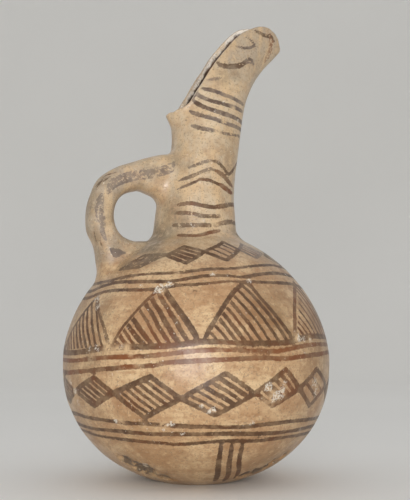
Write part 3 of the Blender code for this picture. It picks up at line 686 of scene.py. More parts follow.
def neck_rear(rise, depth):
    """A place that deep inside the neck's rear wall, at that rise above the neck's root."""
    heights = (ROOT_FILLET, NECK_MID_HEIGHT, NECK_TOP_HEIGHT)
    leans = (NECK_ROOT_LEAN, NECK_MID_LEAN, NECK_TOP_LEAN)
    radii = (NECK_ROOT_RADIUS, NECK_MID_RADIUS, NECK_TOP_RADIUS)
    rear = np.interp(rise, heights, np.subtract(leans, radii))
    return rear + depth, shoulder_height(NECK_ROOT_RADIUS) + rise


def shoulder_rear(reach, depth):
    """A place that deep below the shoulder's rear, at that reach from the axis."""
    return -reach, shoulder_height(reach) - depth


def ray(angle):
    """Unit vectors in the XZ plane at angles in degrees from the beak's side."""
    turn = np.radians(angle)
    return np.stack([np.cos(turn), np.sin(turn)], -1)


def handle_lines(count):
    """The hole's edge line, the strap's outer line and the strap's widths, in the same steps along the
    strap."""
    stations = np.array(HANDLE, float)
    hole_x = NECK_ROOT_LEAN - NECK_ROOT_RADIUS - HOLE_REACH
    centre = np.array([hole_x, shoulder_height(NECK_ROOT_RADIUS) + HOLE_RISE])
    edge = np.concatenate([stations[:, :2], SADDLE])
    edge = centre + ray(edge[:, 0]) * edge[:, 1:]
    outer = centre + ray(stations[:, 0]) * stations[:, 2:3]
    neck_depth = NECK_WALL * ROOT_DEPTH
    belly_depth = BELLY_WALL * ROOT_DEPTH
    far, *middle, near = np.linspace(SHOULDER_ROOT_FAR, SHOULDER_ROOT_NEAR, len(SADDLE) + 2)
    edge = [neck_rear(NECK_ROOT_LOW, neck_depth), *edge, shoulder_rear(near, belly_depth)]
    outer = [
        neck_rear(NECK_ROOT_HIGH, neck_depth),
        *outer,
        shoulder_rear(far, belly_depth / 2),
        *(shoulder_rear(reach, belly_depth) for reach in middle),
    ]
    foot_widths = [SHOULDER_ROOT_WIDTH] * len(SADDLE)
    widths = [NECK_ROOT_WIDTH, *stations[:, 3], *foot_widths, SHOULDER_ROOT_WIDTH * 0.7]
    return spline(edge, count), spline(outer, count), spline(np.array(widths)[:, None], count)[:, 0]


def handle_rings(settings):
    """Superellipse sections that span from the hole's edge line to the strap's outer line, with dents pressed
    in."""
    edge, outer, widths = handle_lines(HANDLE_RINGS)
    middle = (edge + outer) / 2
    half = (outer - edge) / 2
    angle = columns(HANDLE_SIDES)
    power = 2 / HANDLE_SQUARENESS
    across = np.sign(np.cos(angle)) * np.abs(np.cos(angle)) ** power
    along = np.sign(np.sin(angle)) * np.abs(np.sin(angle)) ** power
    flat = middle[:, None] + half[:, None] * across[:, None]
    rings = np.stack([flat[..., 0], np.outer(widths / 2, along), flat[..., 1]], -1)
    centres = rings.mean(1, keepdims=True)
    inward = centres - rings
    inward /= np.linalg.norm(inward, axis=2, keepdims=True)
    return rings + inward * uneven(rings, settings.unevenness * 1.2)[..., None]


def wall_core():
    """Rings of a body inside the wall, which trims the handle's roots so that none shows inside."""
    outer, starts = outer_rings(columns(CORE_COLUMNS))
    normal, _ = outward(outer)
    return (outer - normal * wall_thickness(len(outer), starts) * CORE_DEPTH)[::2]


def capped(name, rings, materials):
    """A closed mesh object in the strap's material slot, from rings with a pole at each end's middle, facing
    outwards."""
    rings = [rings[0].mean(0, keepdims=True), *rings, rings[-1].mean(0, keepdims=True)]
    obj = skin(name, rings, [2] * (len(rings) - 1), materials)
    turn_outwards(obj)
    return obj


def apply_boolean(target, other, operation):
    """Joins or cuts the target's mesh with the other's, and removes the other."""
    modifier = target.modifiers.new(operation.lower(), "BOOLEAN")
    modifier.operation = operation
    modifier.object = other
    graph = bpy.context.evaluated_depsgraph_get()
    mesh = bpy.data.meshes.new_from_object(target.evaluated_get(graph), depsgraph=graph)
    old = target.data
    target.modifiers.clear()
    target.data = mesh
    bpy.data.meshes.remove(old)
    other_mesh = other.data
    bpy.data.objects.remove(other)
    bpy.data.meshes.remove(other_mesh)


def mesh_arrays(mesh):
    """Vertex places in mm, edges, and every face corner's vertex and face."""
    points = np.empty(len(mesh.vertices) * 3)
    mesh.vertices.foreach_get("co", points)
    edges = np.empty(len(mesh.edges) * 2, int)
    mesh.edges.foreach_get("vertices", edges)
    corners = np.empty(len(mesh.loops), int)
    mesh.loops.foreach_get("vertex_index", corners)
    totals = np.empty(len(mesh.polygons), int)
    mesh.polygons.foreach_get("loop_total", totals)
    faces = np.repeat(np.arange(len(totals)), totals)
    return points.reshape(-1, 3) / MM, edges.reshape(-1, 2), corners, faces


def vertex_slots(mesh, count):
    """For each material slot, which vertices have a face in it."""
    _, _, corners, faces = mesh_arrays(mesh)
    index = np.empty(len(mesh.polygons), int)
    mesh.polygons.foreach_get("material_index", index)
    seen = np.zeros((count, len(mesh.vertices)), bool)
    seen[index[faces], corners] = True
    return seen


def nearest_gap(points, line):
    """Each point's distance in mm from the nearest of the line's points."""
    parts = np.array_split(points, 1 + len(points) * len(line) // BLOCK)
    return np.concatenate([np.linalg.norm(part[:, None] - line, axis=2).min(1) for part in parts])


def smear_seams(points, edges, seam, reach):
    """Smooths the clay over the handle's roots: each round moves a point halfway to its neighbours' mean, by
    a share that falls from 1 at the seam to 0 at the reach."""
    near = (points[:, 0] < SMEAR_FRONT) & (points[:, 2] > SMEAR_LOW) & (points[:, 2] < SMEAR_HIGH)
    gap = np.full(len(points), np.inf)
    gap[near] = nearest_gap(points[near], points[seam])
    share = np.clip(1 - gap / reach, 0, 1)
    share = (share * share * (3 - 2 * share))[:, None]
    both = np.concatenate([edges, edges[:, ::-1]])
    degree = np.bincount(both[:, 0], minlength=len(points))[:, None]
    for _ in range(SMEAR_ROUNDS):
        sums = [np.bincount(both[:, 0], points[both[:, 1], k], len(points)) for k in range(3)]
        mean = np.stack(sums, -1) / degree
        points = points + 0.5 * share * (mean - points)
    return points


def on_body(marks, grid):
    """Places on the outside for marks given as angle in degrees and height in mm, read from the ring grid."""
    marks = np.asarray(marks, float)
    count = grid.shape[1]
    turn = marks[:, 0] / 360 * count
    left = np.floor(turn).astype(int) % count
    share = (turn % 1)[:, None]
    right = (left + 1) % count
    profile = grid[:, left, 2] * (1 - share[:, 0]) + grid[:, right, 2] * share[:, 0]
    every = np.arange(len(grid))
    rows = np.array([np.interp(height, profile[:, k], every) for k, height in enumerate(marks[:, 1])])
    low = np.clip(np.floor(rows).astype(int), 0, len(grid) - 2)
    up = (rows - low)[:, None]
    a, b = (grid[row, left] * (1 - share) + grid[row, right] * share for row in (low, low + 1))
    return a * (1 - up) + b * up


def brush(fields, points, index, path, width, tone, fade):
    """Lays one stroke on the indexed points: a point's edge value is the half width, which swells with the
    brush's pressure and tapers at the ends, less its distance from the path. The stroke with the greatest
    edge value gives the point its tone and fading."""
    half = width / 2
    reach = half + STROKE_MARGIN
    here = points[index]
    index = index[((here > path.min(0) - reach) & (here < path.max(0) + reach)).all(1)]
    a, b = path[:-1], path[1:]
    step = b - a
    square = (step**2).sum(1)
    length = np.sqrt(square)
    start = np.concatenate([[0], np.cumsum(length)[:-1]])
    closed = np.linalg.norm(path[0] - path[-1]) < 1e-6
    for part in np.array_split(index, 1 + len(index) * len(a) // BLOCK):
        here = points[part, None] - a[None]
        t = np.clip((here * step).sum(2) / square, 0, 1)
        gap = np.linalg.norm(here - t[..., None] * step, axis=2)
        best = gap.argmin(1)
        row = np.arange(len(part))
        run = start[best] + t[row, best] * length[best]
        ends = np.minimum(run, length.sum() - run)
        taper = 1.0 if closed else np.clip(STROKE_TIP + (1 - STROKE_TIP) * ends / STROKE_RUN_IN, 0, 1)
        press = 1 + STROKE_SWING * (lattice_noise(points[part], 9.0, 31) - 0.5)
        edge = half * taper * press - gap[row, best]
        better = edge > fields["paint_edge"][part]
        chosen = part[better]
        fields["paint_edge"][chosen] = edge[better]
        fields["paint_tone"][chosen] = tone
        fields["paint_fade"][chosen] = fade


def flat_places(marks, centre, table):
    """Places in the plane round a centre angle: x is angle times the radius at that height, y the length up
    the wall, both in mm."""
    heights, radii, lengths = table
    marks = np.asarray(marks, float)
    turn = (marks[..., 0] - centre + 180) % 360 - 180
    x = np.radians(turn) * np.interp(marks[..., 1], heights, radii)
    return np.stack([x, np.interp(marks[..., 1], heights, lengths)], -1)


def right_of(points, start, end):
    """Distance in mm of points from the line through start and end, positive on its right."""
    line = end - start
    offset = points - start
    return (offset[..., 0] * line[1] - offset[..., 1] * line[0]) / np.hypot(*line)


def hatch(fields, where, index, outline, lines, number, width, tone, fade, table):
    """Marks one hatched area: how far inside its outline each point is, and its place in the row of lines,
    which is whole on each line and changes evenly in between."""
    corners = np.array(outline, float)
    centre = corners[:, 0].mean()
    here = flat_places(where[index], centre, table)
    corners = flat_places(corners, centre, table)
    area = np.min([right_of(here, a, b) for a, b in zip(corners, np.roll(corners, -1, 0))], axis=0)
    better = area > fields["hatch_area"][index]
    chosen = index[better]
    ends = flat_places(np.array(lines, float), centre, table)
    far = np.array([-right_of(here[better], a, b) for a, b in ends])
    passed = np.clip((far > 0).sum(0) - 1, 0, len(lines) - 2)
    row = np.arange(len(chosen))
    first, second = far[passed, row], far[passed + 1, row]
    gap = np.maximum(first - second, 0.5)
    fields["hatch_area"][chosen] = area[better]
    fields["hatch_phase"][chosen] = number * 40 + passed + first / gap
    fields["hatch_gap"][chosen] = gap
    fields["hatch_half"][chosen] = width / 2
    inside = chosen[(area[better] > -0.3) & (fields["paint_edge"][chosen] < 0)]
    fields["paint_tone"][inside] = tone
    fields["paint_fade"][inside] = fade


def between(a, b, share):
    """The mark at that share of the way from a to b."""
    return (a[0] + (b[0] - a[0]) * share, a[1] + (b[1] - a[1]) * share)


def painted_areas():
    """Every hatched area with its outline, clockwise from its left corner, its lines and its brush: the
    triangles and lozenges that the front shows, and the plainer ones that carry the rows on behind."""
    areas = [(outline, lines, width, tone, 0.0, ()) for *outline, tone, width, lines in TRIANGLE_LINES]
    first, last, count, *rows = TRIANGLES_BEHIND
    for k in range(count):
        left, right = (first + (last - first) * (k + share) / count for share in (0.02, 0.98))
        middle = (left + right) / 2
        low, high = (np.interp(middle, (first, last), ends) for ends in rows)
        corners = ((left, low), (middle + 1.5, high), (right, low))
        shares = np.linspace(0.12, 1.0, 9)
        lines = [(between(corners[0], corners[1], s), between(corners[0], corners[2], s)) for s in shares]
        areas.append((corners, lines, 1.9, 0.1, 0.1, (corners, 2.2)))
    lozenges = list(LOZENGES)
    for first, last, count, middle, tall, hatching in CHAINS_BEHIND:
        step = (last - first) / count
        for left in first + step * np.arange(count):
            top = (left + step * 0.62, middle + tall)
            bottom = (left + step * 0.4, middle - tall)
            corners = ((left, middle), top, (left + step, middle), bottom)
            lozenges.append((*corners, 0.1, 0.15, hatching, 1.9, 2.3))
    for left, top, right, bottom, tone, fade, count, width, border in lozenges:
        shares = np.linspace(0, 1, count + 2)
        lines = [(between(left, top, s), between(bottom, right, s)) for s in shares]
        outline = (left, top, right, bottom)
        areas.append((outline, lines, width, tone, fade, (outline, border)))
    return areas


def blobs(where, spots, noise):
    """The strongest of soft round spots, with ragged edges: strength times (1.3 - distance / radius), moved
    up and down by the noise, and cut to 0..1."""
    value = np.zeros(len(where))
    for *centre, radius, strength in spots:
        gap = np.linalg.norm(where - np.array(centre), axis=1)
        value = np.maximum(value, strength * np.clip(1.3 - gap / radius + 1.1 * (noise - 0.5), 0, 1))
    return value


def laid(spots, grid):
    """Spots given by angle and height, as places on the outside with their radius and strength."""
    places = on_body([spot[:2] for spot in spots], grid)
    return [(*place, *spot[2:]) for place, spot in zip(places, spots)]


def belly_path(marks, grid):
    """A closed path round the belly: straight between the marks, then averaged over five neighbours."""
    marks = np.array(marks + ((marks[0][0] + 360, marks[0][1]),), float)
    turns = np.linspace(marks[0, 0], marks[-1, 0], 241)
    heights = np.interp(turns, marks[:, 0], marks[:, 1])
    heights = np.concatenate([heights[-6:-1], heights, heights[1:6]])
    heights = np.convolve(heights, np.ones(5) / 5, "same")[5:-5]
    heights[-1] = heights[0]
    path = on_body(np.stack([turns, heights], -1), grid)
    path[-1] = path[0]
    return path


def wall_table(grid):
    """Heights, radii and lengths up the wall of the outside's profile, a quarter of the way round."""
    profile = grid[:, grid.shape[1] // 4]
    heights, radii = profile[:, 2], np.abs(profile[:, 1])
    return heights, radii, np.concatenate([[0], np.cumsum(np.hypot(np.diff(heights), np.diff(radii)))])


def surface_fields(points, inside, handle, grid):
    """What the surface carries at each vertex, as FIELDS lists it, all worked out from the vertex's place."""
    fields = {name: np.full(len(points), value) for name, value in FIELDS.items()}
    fields["inside"][inside] = np.clip(nearest_gap(points[inside], grid[-1]) - LIP_WALL / 2, 0.05, 20)

    body = np.flatnonzero(~inside & ~handle)
    for width, tone, fade, marks in BELLY_LINES:
        brush(fields, points, body, belly_path(marks, grid), width, tone, fade)
    for width, tone, fade, marks in BODY_STROKES:
        path = on_body(spline(marks, 6 * (len(marks) - 1)), grid)
        brush(fields, points, body, path, width, tone, fade)
    for width, tone, fade, marks in HANDLE_STROKES:
        path = spline(marks, 4 * (len(marks) - 1))
        brush(fields, points, np.flatnonzero(handle), path, width, tone, fade)

    wall = wall_table(grid)
    angle = np.degrees(np.arctan2(points[:, 1], points[:, 0])) % 360
    where = np.stack([angle, points[:, 2]], -1)
    for number, (outline, lines, width, tone, fade, border) in enumerate(painted_areas()):
        turns, heights = np.array(outline, float).T
        near = np.abs((angle[body] - turns.mean() + 180) % 360 - 180) < 40
        near &= (points[body, 2] > heights.min() - 6) & (points[body, 2] < heights.max() + 6)
        if border:
            corners, thick = border
            loop = np.array(corners + corners[:1], float)
            sides = [np.linspace(a, b, 9)[:-1] for a, b in zip(loop, loop[1:])]
            brush(fields, points, body, on_body(np.concatenate([*sides, loop[-1:]]), grid), thick, tone, fade)
        hatch(fields, where, body[near], outline, lines, number, width, tone, fade, wall)

    rough = lattice_noise(points, 2.2, 41)
    for name, spots, noise in (
        ("lime", laid(LIME, grid), rough),
        ("soil_and_shade", SOIL_AND_SIDE_SHADE, lattice_noise(points, 5.0, 42)),
        ("stain_and_shade", laid(STAINS_AND_SIDE_SHADE, grid), lattice_noise(points, 9.0, 43)),
        ("flake", laid(FLAKES, grid), rough),
        ("scorch", laid(SPALLS, grid), rough),
    ):
        fields[name] = blobs(points, spots, noise) * ~inside
    return fields


def clay_body(settings):
    """The whole jug as one closed mesh: shell and handle joined, roots smoothed over, chips and spalls
    pressed in."""
    kinds = [bpy.data.materials.new(name) for name in ("outside", "inside", "strap")]
    body = skin("painted_jug", *shell(settings), kinds)
    strap = capped("strap", handle_rings(settings), kinds)
    core = capped("core", wall_core(), kinds)
    apply_boolean(strap, core, "DIFFERENCE")
    apply_boolean(body, strap, "UNION")

    # The material slots have kept which part each face came from.
    mesh = body.data
    outside, inside, handle = vertex_slots(mesh, 3)
    points, edges, _, _ = mesh_arrays(mesh)
    seam = (outside | inside) & handle
    points = smear_seams(points, edges, seam, settings.root_reach)
    inside &= ~outside
    grid = outer_rings(columns(BELLY_COLUMNS)[::2])[0]
    normals = np.empty(len(points) * 3)
    mesh.vertex_normals.foreach_get("vector", normals)
    normals = normals.reshape(-1, 3)
    for spots, deep in ((CHIPS, settings.chip_depth), (SPALLS, settings.chip_depth * SPALL_DEPTH)):
        dents = blobs(points, laid(spots, grid), lattice_noise(points, 1.8, 51))
        points = points - normals * (dents * ~inside * deep)[:, None]
    low, high = (np.array(corner) / MM for corner in cad_box)
    points = np.clip(points, low + (BOX_GAP, BOX_GAP, 0), high - BOX_GAP)
    mesh.vertices.foreach_set("co", (points * MM).ravel())
    for name, values in surface_fields(points, inside, handle & ~outside, grid).items():
        mesh.attributes.new(name, "FLOAT", "POINT").data.foreach_set("value", values.astype(np.float32))
    mesh.materials.clear()
    for material in kinds:
        bpy.data.materials.remove(material)
    mesh.polygons.foreach_set("material_index", np.zeros(len(mesh.polygons), np.int32))
    mesh.shade_smooth()
    mesh.update()
    return body


def turn_outwards(obj):
    """Turns the faces outwards where the closed mesh was wound the other way, told by its signed volume."""
    points, _, _, _ = mesh_arrays(obj.data)
    obj.data.calc_loop_triangles()
    corners = np.empty(len(obj.data.loop_triangles) * 3, int)
    obj.data.loop_triangles.foreach_get("vertices", corners)
    a, b, c = (points[corners.reshape(-1, 3)[:, k]] for k in range(3))
    if (a * np.cross(b, c)).sum() < 0:
        obj.data.flip_normals()


# Shading nodes by what they do: type, settings, the inputs that the values go to in order, and the output.
# Any other name is a maths node's operation.
NODES = {
    "place": ("ShaderNodeTexCoord", {}, (), "Object"),
    "carried": ("ShaderNodeAttribute", {}, (), "Fac"),
    "stretched": ("ShaderNodeMapping", {}, ("Vector", "Scale"), "Vector"),
    "x": ("ShaderNodeSeparateXYZ", {}, ("Vector",), "X"),
    "z": ("ShaderNodeSeparateXYZ", {}, ("Vector",), "Z"),
    "clouds": ("ShaderNodeTexNoise", {}, ("Vector", "Scale", "Detail", "Roughness"), "Fac"),
    "scatter": ("ShaderNodeTexWhiteNoise", {"noise_dimensions": "1D"}, ("W",), "Value"),
    "ramp": ("ShaderNodeMapRange", {"interpolation_type": "SMOOTHSTEP"},
             ("Value", "From Min", "From Max", "To Min", "To Max"), "Result"),
    "mix": ("ShaderNodeMix", {"data_type": "RGBA"}, (0, 6, 7), 2),
    "bump": ("ShaderNodeBump", {}, ("Strength", "Distance", "Height"), "Normal"),
}


def node(tree, kind, *values, **settings):
    """Adds a node of that kind, sets or links its inputs and gives its output. Inputs left out stay as they
    are."""
    maths = ("ShaderNodeMath", {"operation": kind.upper()}, (0, 1), 0)
    type_name, fixed, inputs, output = NODES.get(kind, maths)
    added = tree.nodes.new(type_name)
    for name, value in {**fixed, **settings}.items():
        setattr(added, name, value)
    for name, value in zip(inputs, values):
        if isinstance(value, bpy.types.NodeSocket):
            tree.links.new(value, added.inputs[name])
        else:
            added.inputs[name].default_value = value
    return added.outputs[output]


def lumps(size):
    """The noise scale, per metre, whose main lumps are that many millimetres wide."""
    return 1000 / size


def slipped_fired_clay(settings):
    """Fired clay under a rubbed buff slip. The slip gives a broad soft sheen and flows in faint level streaks
    from the rubbing tool. The iron paint sinks in: it is a little rougher, and it wears off in flecks."""
    material = bpy.data.materials.new("slipped_fired_clay")
    material.use_nodes = True
    tree = material.node_tree
    shader = tree.nodes["Principled BSDF"]
    add = partial(node, tree)
    place = add("place")
    level = add("stretched", place, (1.0, 1.0, 6.0))
    upright = add("stretched", place, (1.0, 1.0, 0.16))
    height = add("z", place)
    carried = {name: add("carried", attribute_name=name) for name in FIELDS}
    depth = carried["inside"]
    # The dirt colour also paints shade on the belly's sides.
    light, deep, dirt = settings.slip_light, settings.slip_deep, settings.soil_and_shade

    # Slip: pale where it is thick, browner where the body shows through, with level streaks and old stains.
    # Stains at the belly's sides are painted shade as well.
    slip = add("ramp", add("clouds", place, lumps(24), 4.0, 0.6), 0.38, 0.62)
    slip = add("mix", slip, light, settings.slip_warm)
    thin = add("ramp", add("clouds", place, lumps(8), 4.0, 0.62), 0.44, 0.7, 0, 0.6)
    slip = add("mix", thin, slip, deep)
    streaks = add("clouds", level, lumps(15), 4.0, 0.65)
    slip = add("mix", add("ramp", streaks, 0.42, 0.68, 0, 0.5), slip, deep)
    # Stains, which at the belly's sides are painted shade.
    stain_and_shade = add("ramp", add("clouds", place, lumps(6), 4.0, 0.65), 0.28, 0.58, 0.45, 1)
    stain_and_shade = add("multiply", add("multiply", carried["stain_and_shade"], stain_and_shade), 0.62)
    slip = add("mix", stain_and_shade, slip, settings.stain_and_shade)

    # The neck, handle and beak have weathered greyer than the belly.
    strap = add("ramp", add("x", place), -0.044, -0.028, 1, 0)
    strap = add("multiply", strap, add("ramp", height, 0.104, 0.116, 0, 0.75))
    patchy = add("ramp", add("clouds", place, lumps(9), 4.0, 0.6), 0.36, 0.62, 0.4, 1)
    neck = add("multiply", add("ramp", height, 0.102, 0.124, 0, 0.65), patchy)
    slip = add("mix", neck, slip, settings.grey_slip)
    beak = add("maximum", add("ramp", height, 0.198, 0.222, 0, 0.65), strap)
    slip = add("mix", add("multiply", beak, patchy), slip, settings.grey_beak)

    # The lip is painted near white: worn slip run over it, brightened as painted light. The hatching has left
    # a faint wash of thin paint between its lines.
    slip = add("mix", add("ramp", depth, 0.0, 0.3, 0, 0.85), slip, settings.lip)
    slip = add("mix", add("ramp", carried["hatch_area"], 0.0, 0.8, 0, 0.16), slip, settings.paint_red)

    # Upright rubbing marks on the neck, then pale and brown specks. The real grit is about 0.3 mm: it is
    # drawn 0.9 to 3.4 mm wide, so that it shows.
    rubbed = add("ramp", add("clouds", upright, lumps(5), 3.0, 0.6), 0.46, 0.66)
    rubbed = add("multiply", rubbed, add("ramp", height, 0.11, 0.13, 0, 0.6))
    slip = add("mix", rubbed, slip, light)
    specks = add("ramp", add("clouds", place, lumps(3.4), 3.0, 0.6), 0.54, 0.7, 0, 0.55)
    slip = add("mix", specks, slip, light)
    specks = add("ramp", add("clouds", place, lumps(1.9), 3.0, 0.65), 0.48, 0.66, 0, 0.55)
    specks = add("multiply", specks, add("ramp", height, 0.11, 0.13, 1, 0.4))
    slip = add("mix", specks, slip, deep)
    specks = add("ramp", add("clouds", place, lumps(0.9), 2.0, 0.55), 0.56, 0.68, 0, 0.55)
    slip = add("mix", specks, slip, dirt)
    flake = add("ramp", add("clouds", place, lumps(1.6), 3.0, 0.65), 0.34, 0.5)
    flake = add("multiply", carried["flake"], flake)
    slip = add("mix", add("multiply", flake, 0.6), slip, light)

    # Hatch lines: the distance from the nearest whole phase, in mm, against each line's own half width.
    wander = add("subtract", add("clouds", place, lumps(9), 2.0, 0.55), 0.5)
    phase = add("add", carried["hatch_phase"], add("multiply", wander, 0.34))
    nearest = add("round", phase)
    off = add("multiply", add("absolute", add("subtract", phase, nearest)), carried["hatch_gap"])
    spread = add("multiply", add("subtract", add("scatter", nearest), 0.5), 0.5)
    half = add("add", carried["hatch_half"], spread)
    lines = add("minimum", add("subtract", half, off), carried["hatch_area"])

    # Painted where the edge value is above zero, with ragged edges, flecks worn off and a wash in places.
    ragged = add("subtract", add("clouds", place, lumps(1.6), 3.0, 0.65), 0.5)
    edge = add("maximum", lines, carried["paint_edge"])
    edge = add("add", edge, add("multiply", ragged, 1.1))
    fade = carried["paint_fade"]
    flecks = add("clouds", place, lumps(2.0), 4.0, 0.7)
    worn = add("ramp", add("subtract", flecks, add("multiply", fade, 0.28)), 0.26, 0.36)
    wash = add("ramp", add("clouds", place, lumps(5), 4.0, 0.6), 0.34, 0.62, 0.7, 1)
    cover = add("multiply", add("ramp", edge, -0.12, 0.22), add("multiply", worn, wash))
    cover = add("multiply", cover, add("subtract", 1.0, add("multiply", fade, 0.35)))
    cover = add("multiply", cover, add("subtract", 1.0, flake))
    cover = add("multiply", cover, add("ramp", depth, 0.1, 0.5, 1, 0))
    drift = add("subtract", add("clouds", place, lumps(10), 3.0, 0.55), 0.5)
    tone = add("add", carried["paint_tone"], add("multiply", drift, 1.6))
    paint = add("mix", add("ramp", tone, 0.0, 0.9), settings.paint_dark, settings.paint_red)
    paint = add("mix", add("ramp", tone, -0.8, 0.0, 1, 0), paint, settings.paint_grey)
    painted = add("mix", cover, slip, paint)

    # Soil in the hollows, and dirt that paints shade on the belly's sides, scorched spalls below, and lime
    # that has crept over the paint.
    soil_and_shade = add("ramp", add("clouds", place, lumps(3.0), 4.0, 0.7), 0.26, 0.56)
    soil_and_shade = add("multiply", carried["soil_and_shade"], soil_and_shade)
    painted = add("mix", soil_and_shade, painted, dirt)
    burnt = add("multiply", carried["scorch"], add("clouds", place, lumps(3.4), 4.0, 0.65))
    painted = add("mix", add("ramp", burnt, 0.12, 0.34, 0, 0.85), painted, settings.scorch)
    painted = add("mix", add("ramp", burnt, 0.52, 0.62, 0, 0.8), painted, settings.grey_slip)
    specks = add("ramp", add("clouds", place, lumps(1.3), 2.0, 0.6), 0.68, 0.73)
    grouped = add("ramp", add("clouds", place, lumps(30), 2.0, 0.55), 0.42, 0.62)
    specks = add("multiply", add("multiply", specks, grouped), 0.7)
    crust = add("ramp", add("clouds", place, lumps(0.9), 3.0, 0.7), 0.4, 0.58)
    crust = add("ramp", add("multiply", carried["lime"], crust), 0.2, 0.6, 0, 0.85)
    white = add("maximum", specks, crust)
    painted = add("mix", add("multiply", white, 0.85), painted, settings.lime)

    # The slip runs a little way over the lip. Deeper in, the wall is painted dark: painted shade inside the
    # mouth and the near rim's painted shadow on the far wall. Deepest in it turns a little browner.
    ragged = add("subtract", add("clouds", place, lumps(4), 3.0, 0.55), 0.5)
    below_lip_shade_mask = add("ramp", add("add", depth, add("multiply", ragged, 2.0)), 1.6, 2.4)
    painted_inside_shade = add("ramp", add("clouds", place, lumps(9), 4.0, 0.55), 0.4, 0.75, 0, 0.3)
    painted_inside_shade = add("mix", painted_inside_shade, settings.inside, deep)
    painted_inside_shade = add("mix", add("ramp", depth, 14.0, 20.0, 0, 0.6), painted_inside_shade, deep)
    tree.links.new(add("mix", below_lip_shade_mask, painted, painted_inside_shade), shader.inputs["Base Color"])

    # Sheen of the rubbed slip, dulled by paint, by dirt and the shade painted with it at the belly's sides, by
    # lime, and by the painted shade in the mouth.
    gloss = add("clouds", place, lumps(12), 3.0, 0.55)
    rough = add("ramp", gloss, 0.3, 0.7, settings.sheen_low, settings.sheen_high)
    dull = add("maximum", add("maximum", white, soil_and_shade), below_lip_shade_mask)
    for layer, rise in ((cover, 0.08), (strap, 0.16), (dull, 0.3)):
        rough = add("add", rough, add("multiply", layer, rise))
    tree.links.new(rough, shader.inputs["Roughness"])

    # Relief in mm: rubbing streaks, grain, finger marks, edges of the paint, crust of lime, pits and flakes.
    relief = add("multiply", streaks, 0.18)
    grain = add("clouds", place, lumps(1.0), 3.0, 0.6)
    finger_marks = add("clouds", place, lumps(5), 3.0, 0.55)
    pits = add("ramp", add("clouds", place, lumps(2.4), 2.0, 0.55), 0.28, 0.35)
    for layer, rise in (
        (grain, 0.09), (finger_marks, 0.24), (cover, 0.04), (white, 0.12), (pits, 0.16), (flake, -0.12)
    ):
        relief = add("add", relief, add("multiply", layer, rise))
    tree.links.new(add("bump", 0.85, MM, relief), shader.inputs["Normal"])
    shader.inputs["IOR"].default_value = 1.5
    shader.inputs["Coat Weight"].default_value = 0.12
    shader.inputs["Coat Roughness"].default_value = 0.28
    return material


def studio_paper(colour):
    """Matt backdrop paper: an even pale tone with a very faint cloud, and no shine."""
    material = bpy.data.materials.new("studio_paper")
    material.use_nodes = True
    tree = material.node_tree
    shader = tree.nodes["Principled BSDF"]
    cloud = node(tree, "clouds", node(tree, "place"), lumps(400), 2.0)
    darker = tuple(c * 0.94 for c in colour[:3]) + (1.0,)
    tree.links.new(node(tree, "mix", cloud, colour, darker), shader.inputs["Base Color"])
    shader.inputs["Roughness"].default_value = 0.9
    return material


def colour_choice(name, description, hex_colour):
    """A colour setting, from an sRGB hex value."""
    return FloatVectorProperty(name=name, description=description, subtype="COLOR", size=4, min=0, max=1,
                               default=linear(hex_colour))


def amount(name, description, default, least, most, **kind):
    """A number setting, with its unit or subtype where one fits."""
    return FloatProperty(name=name, description=description, default=default, min=least, max=most, **kind)


class ClaySettings(bpy.types.PropertyGroup):
    unevenness: amount("Unevenness", "Depth of the hand-built wall's hollows in mm", 1.0, 0, 2)
    lip_wear: amount("Lip wear", "How far the lip is worn down in mm", 1.1, 0, 2)
    chip_depth: amount("Chip depth", "Depth of the chips in mm", 1.0, 0, 3)
    root_reach: amount("Root smoothing", "How far clay is smeared over the handle's roots in mm", 8.5, 1, 12)
    sheen_low: amount("Smoothest slip", "Roughness where the slip is rubbed most", 0.29, 0.1, 1)
    sheen_high: amount("Roughest slip", "Roughness where the slip is rubbed least", 0.43, 0.1, 1)
    slip_light: colour_choice("Thick slip", "Colour of the slip where it is thick", 0xCEB088)
    slip_warm: colour_choice("Slip", "Usual colour of the slip", 0xB6926B)
    slip_deep: colour_choice("Thin slip", "Colour where the clay shows through", 0x99704B)
    grey_slip: colour_choice("Weathered slip", "Colour of the neck's and handle's weathered slip", 0xC8B9A0)
    grey_beak: colour_choice("Weathered beak", "Colour of the beak's weathered slip", 0xA39380)
    # Lip colour: near white, as painted light on the worn slip of the lip.
    lip: colour_choice("Lip", "Colour of the slip that runs over the lip", 0xF4EADE)
    paint_dark: colour_choice("Dark paint", "Colour of the thick iron paint", 0x4D3219)
    paint_red: colour_choice("Red paint", "Colour of the thin iron paint", 0x78431C)
    paint_grey: colour_choice("Greyed paint", "Colour of the weathered paint", 0x635550)
    # Dirt colour, also painted as shade on the belly's sides.
    soil_and_shade: colour_choice("Soil", "Colour of the dirt in the hollows", 0x736550)
    # Stain colour, also painted as shade on the belly's sides.
    stain_and_shade: colour_choice("Stains", "Colour of the old brown stains", 0x82623C)
    scorch: colour_choice("Scorch", "Colour of the scorched spalls near the foot", 0x4E4136)
    # Painted shade: this dark colour stands for the shade and the near rim's shadow inside the mouth.
    inside: colour_choice("Bare inside", "Colour of the wall deep in the mouth", 0x3A281D)
    lime: colour_choice("Lime", "Colour of the lime crust", 0xE4DBCC)


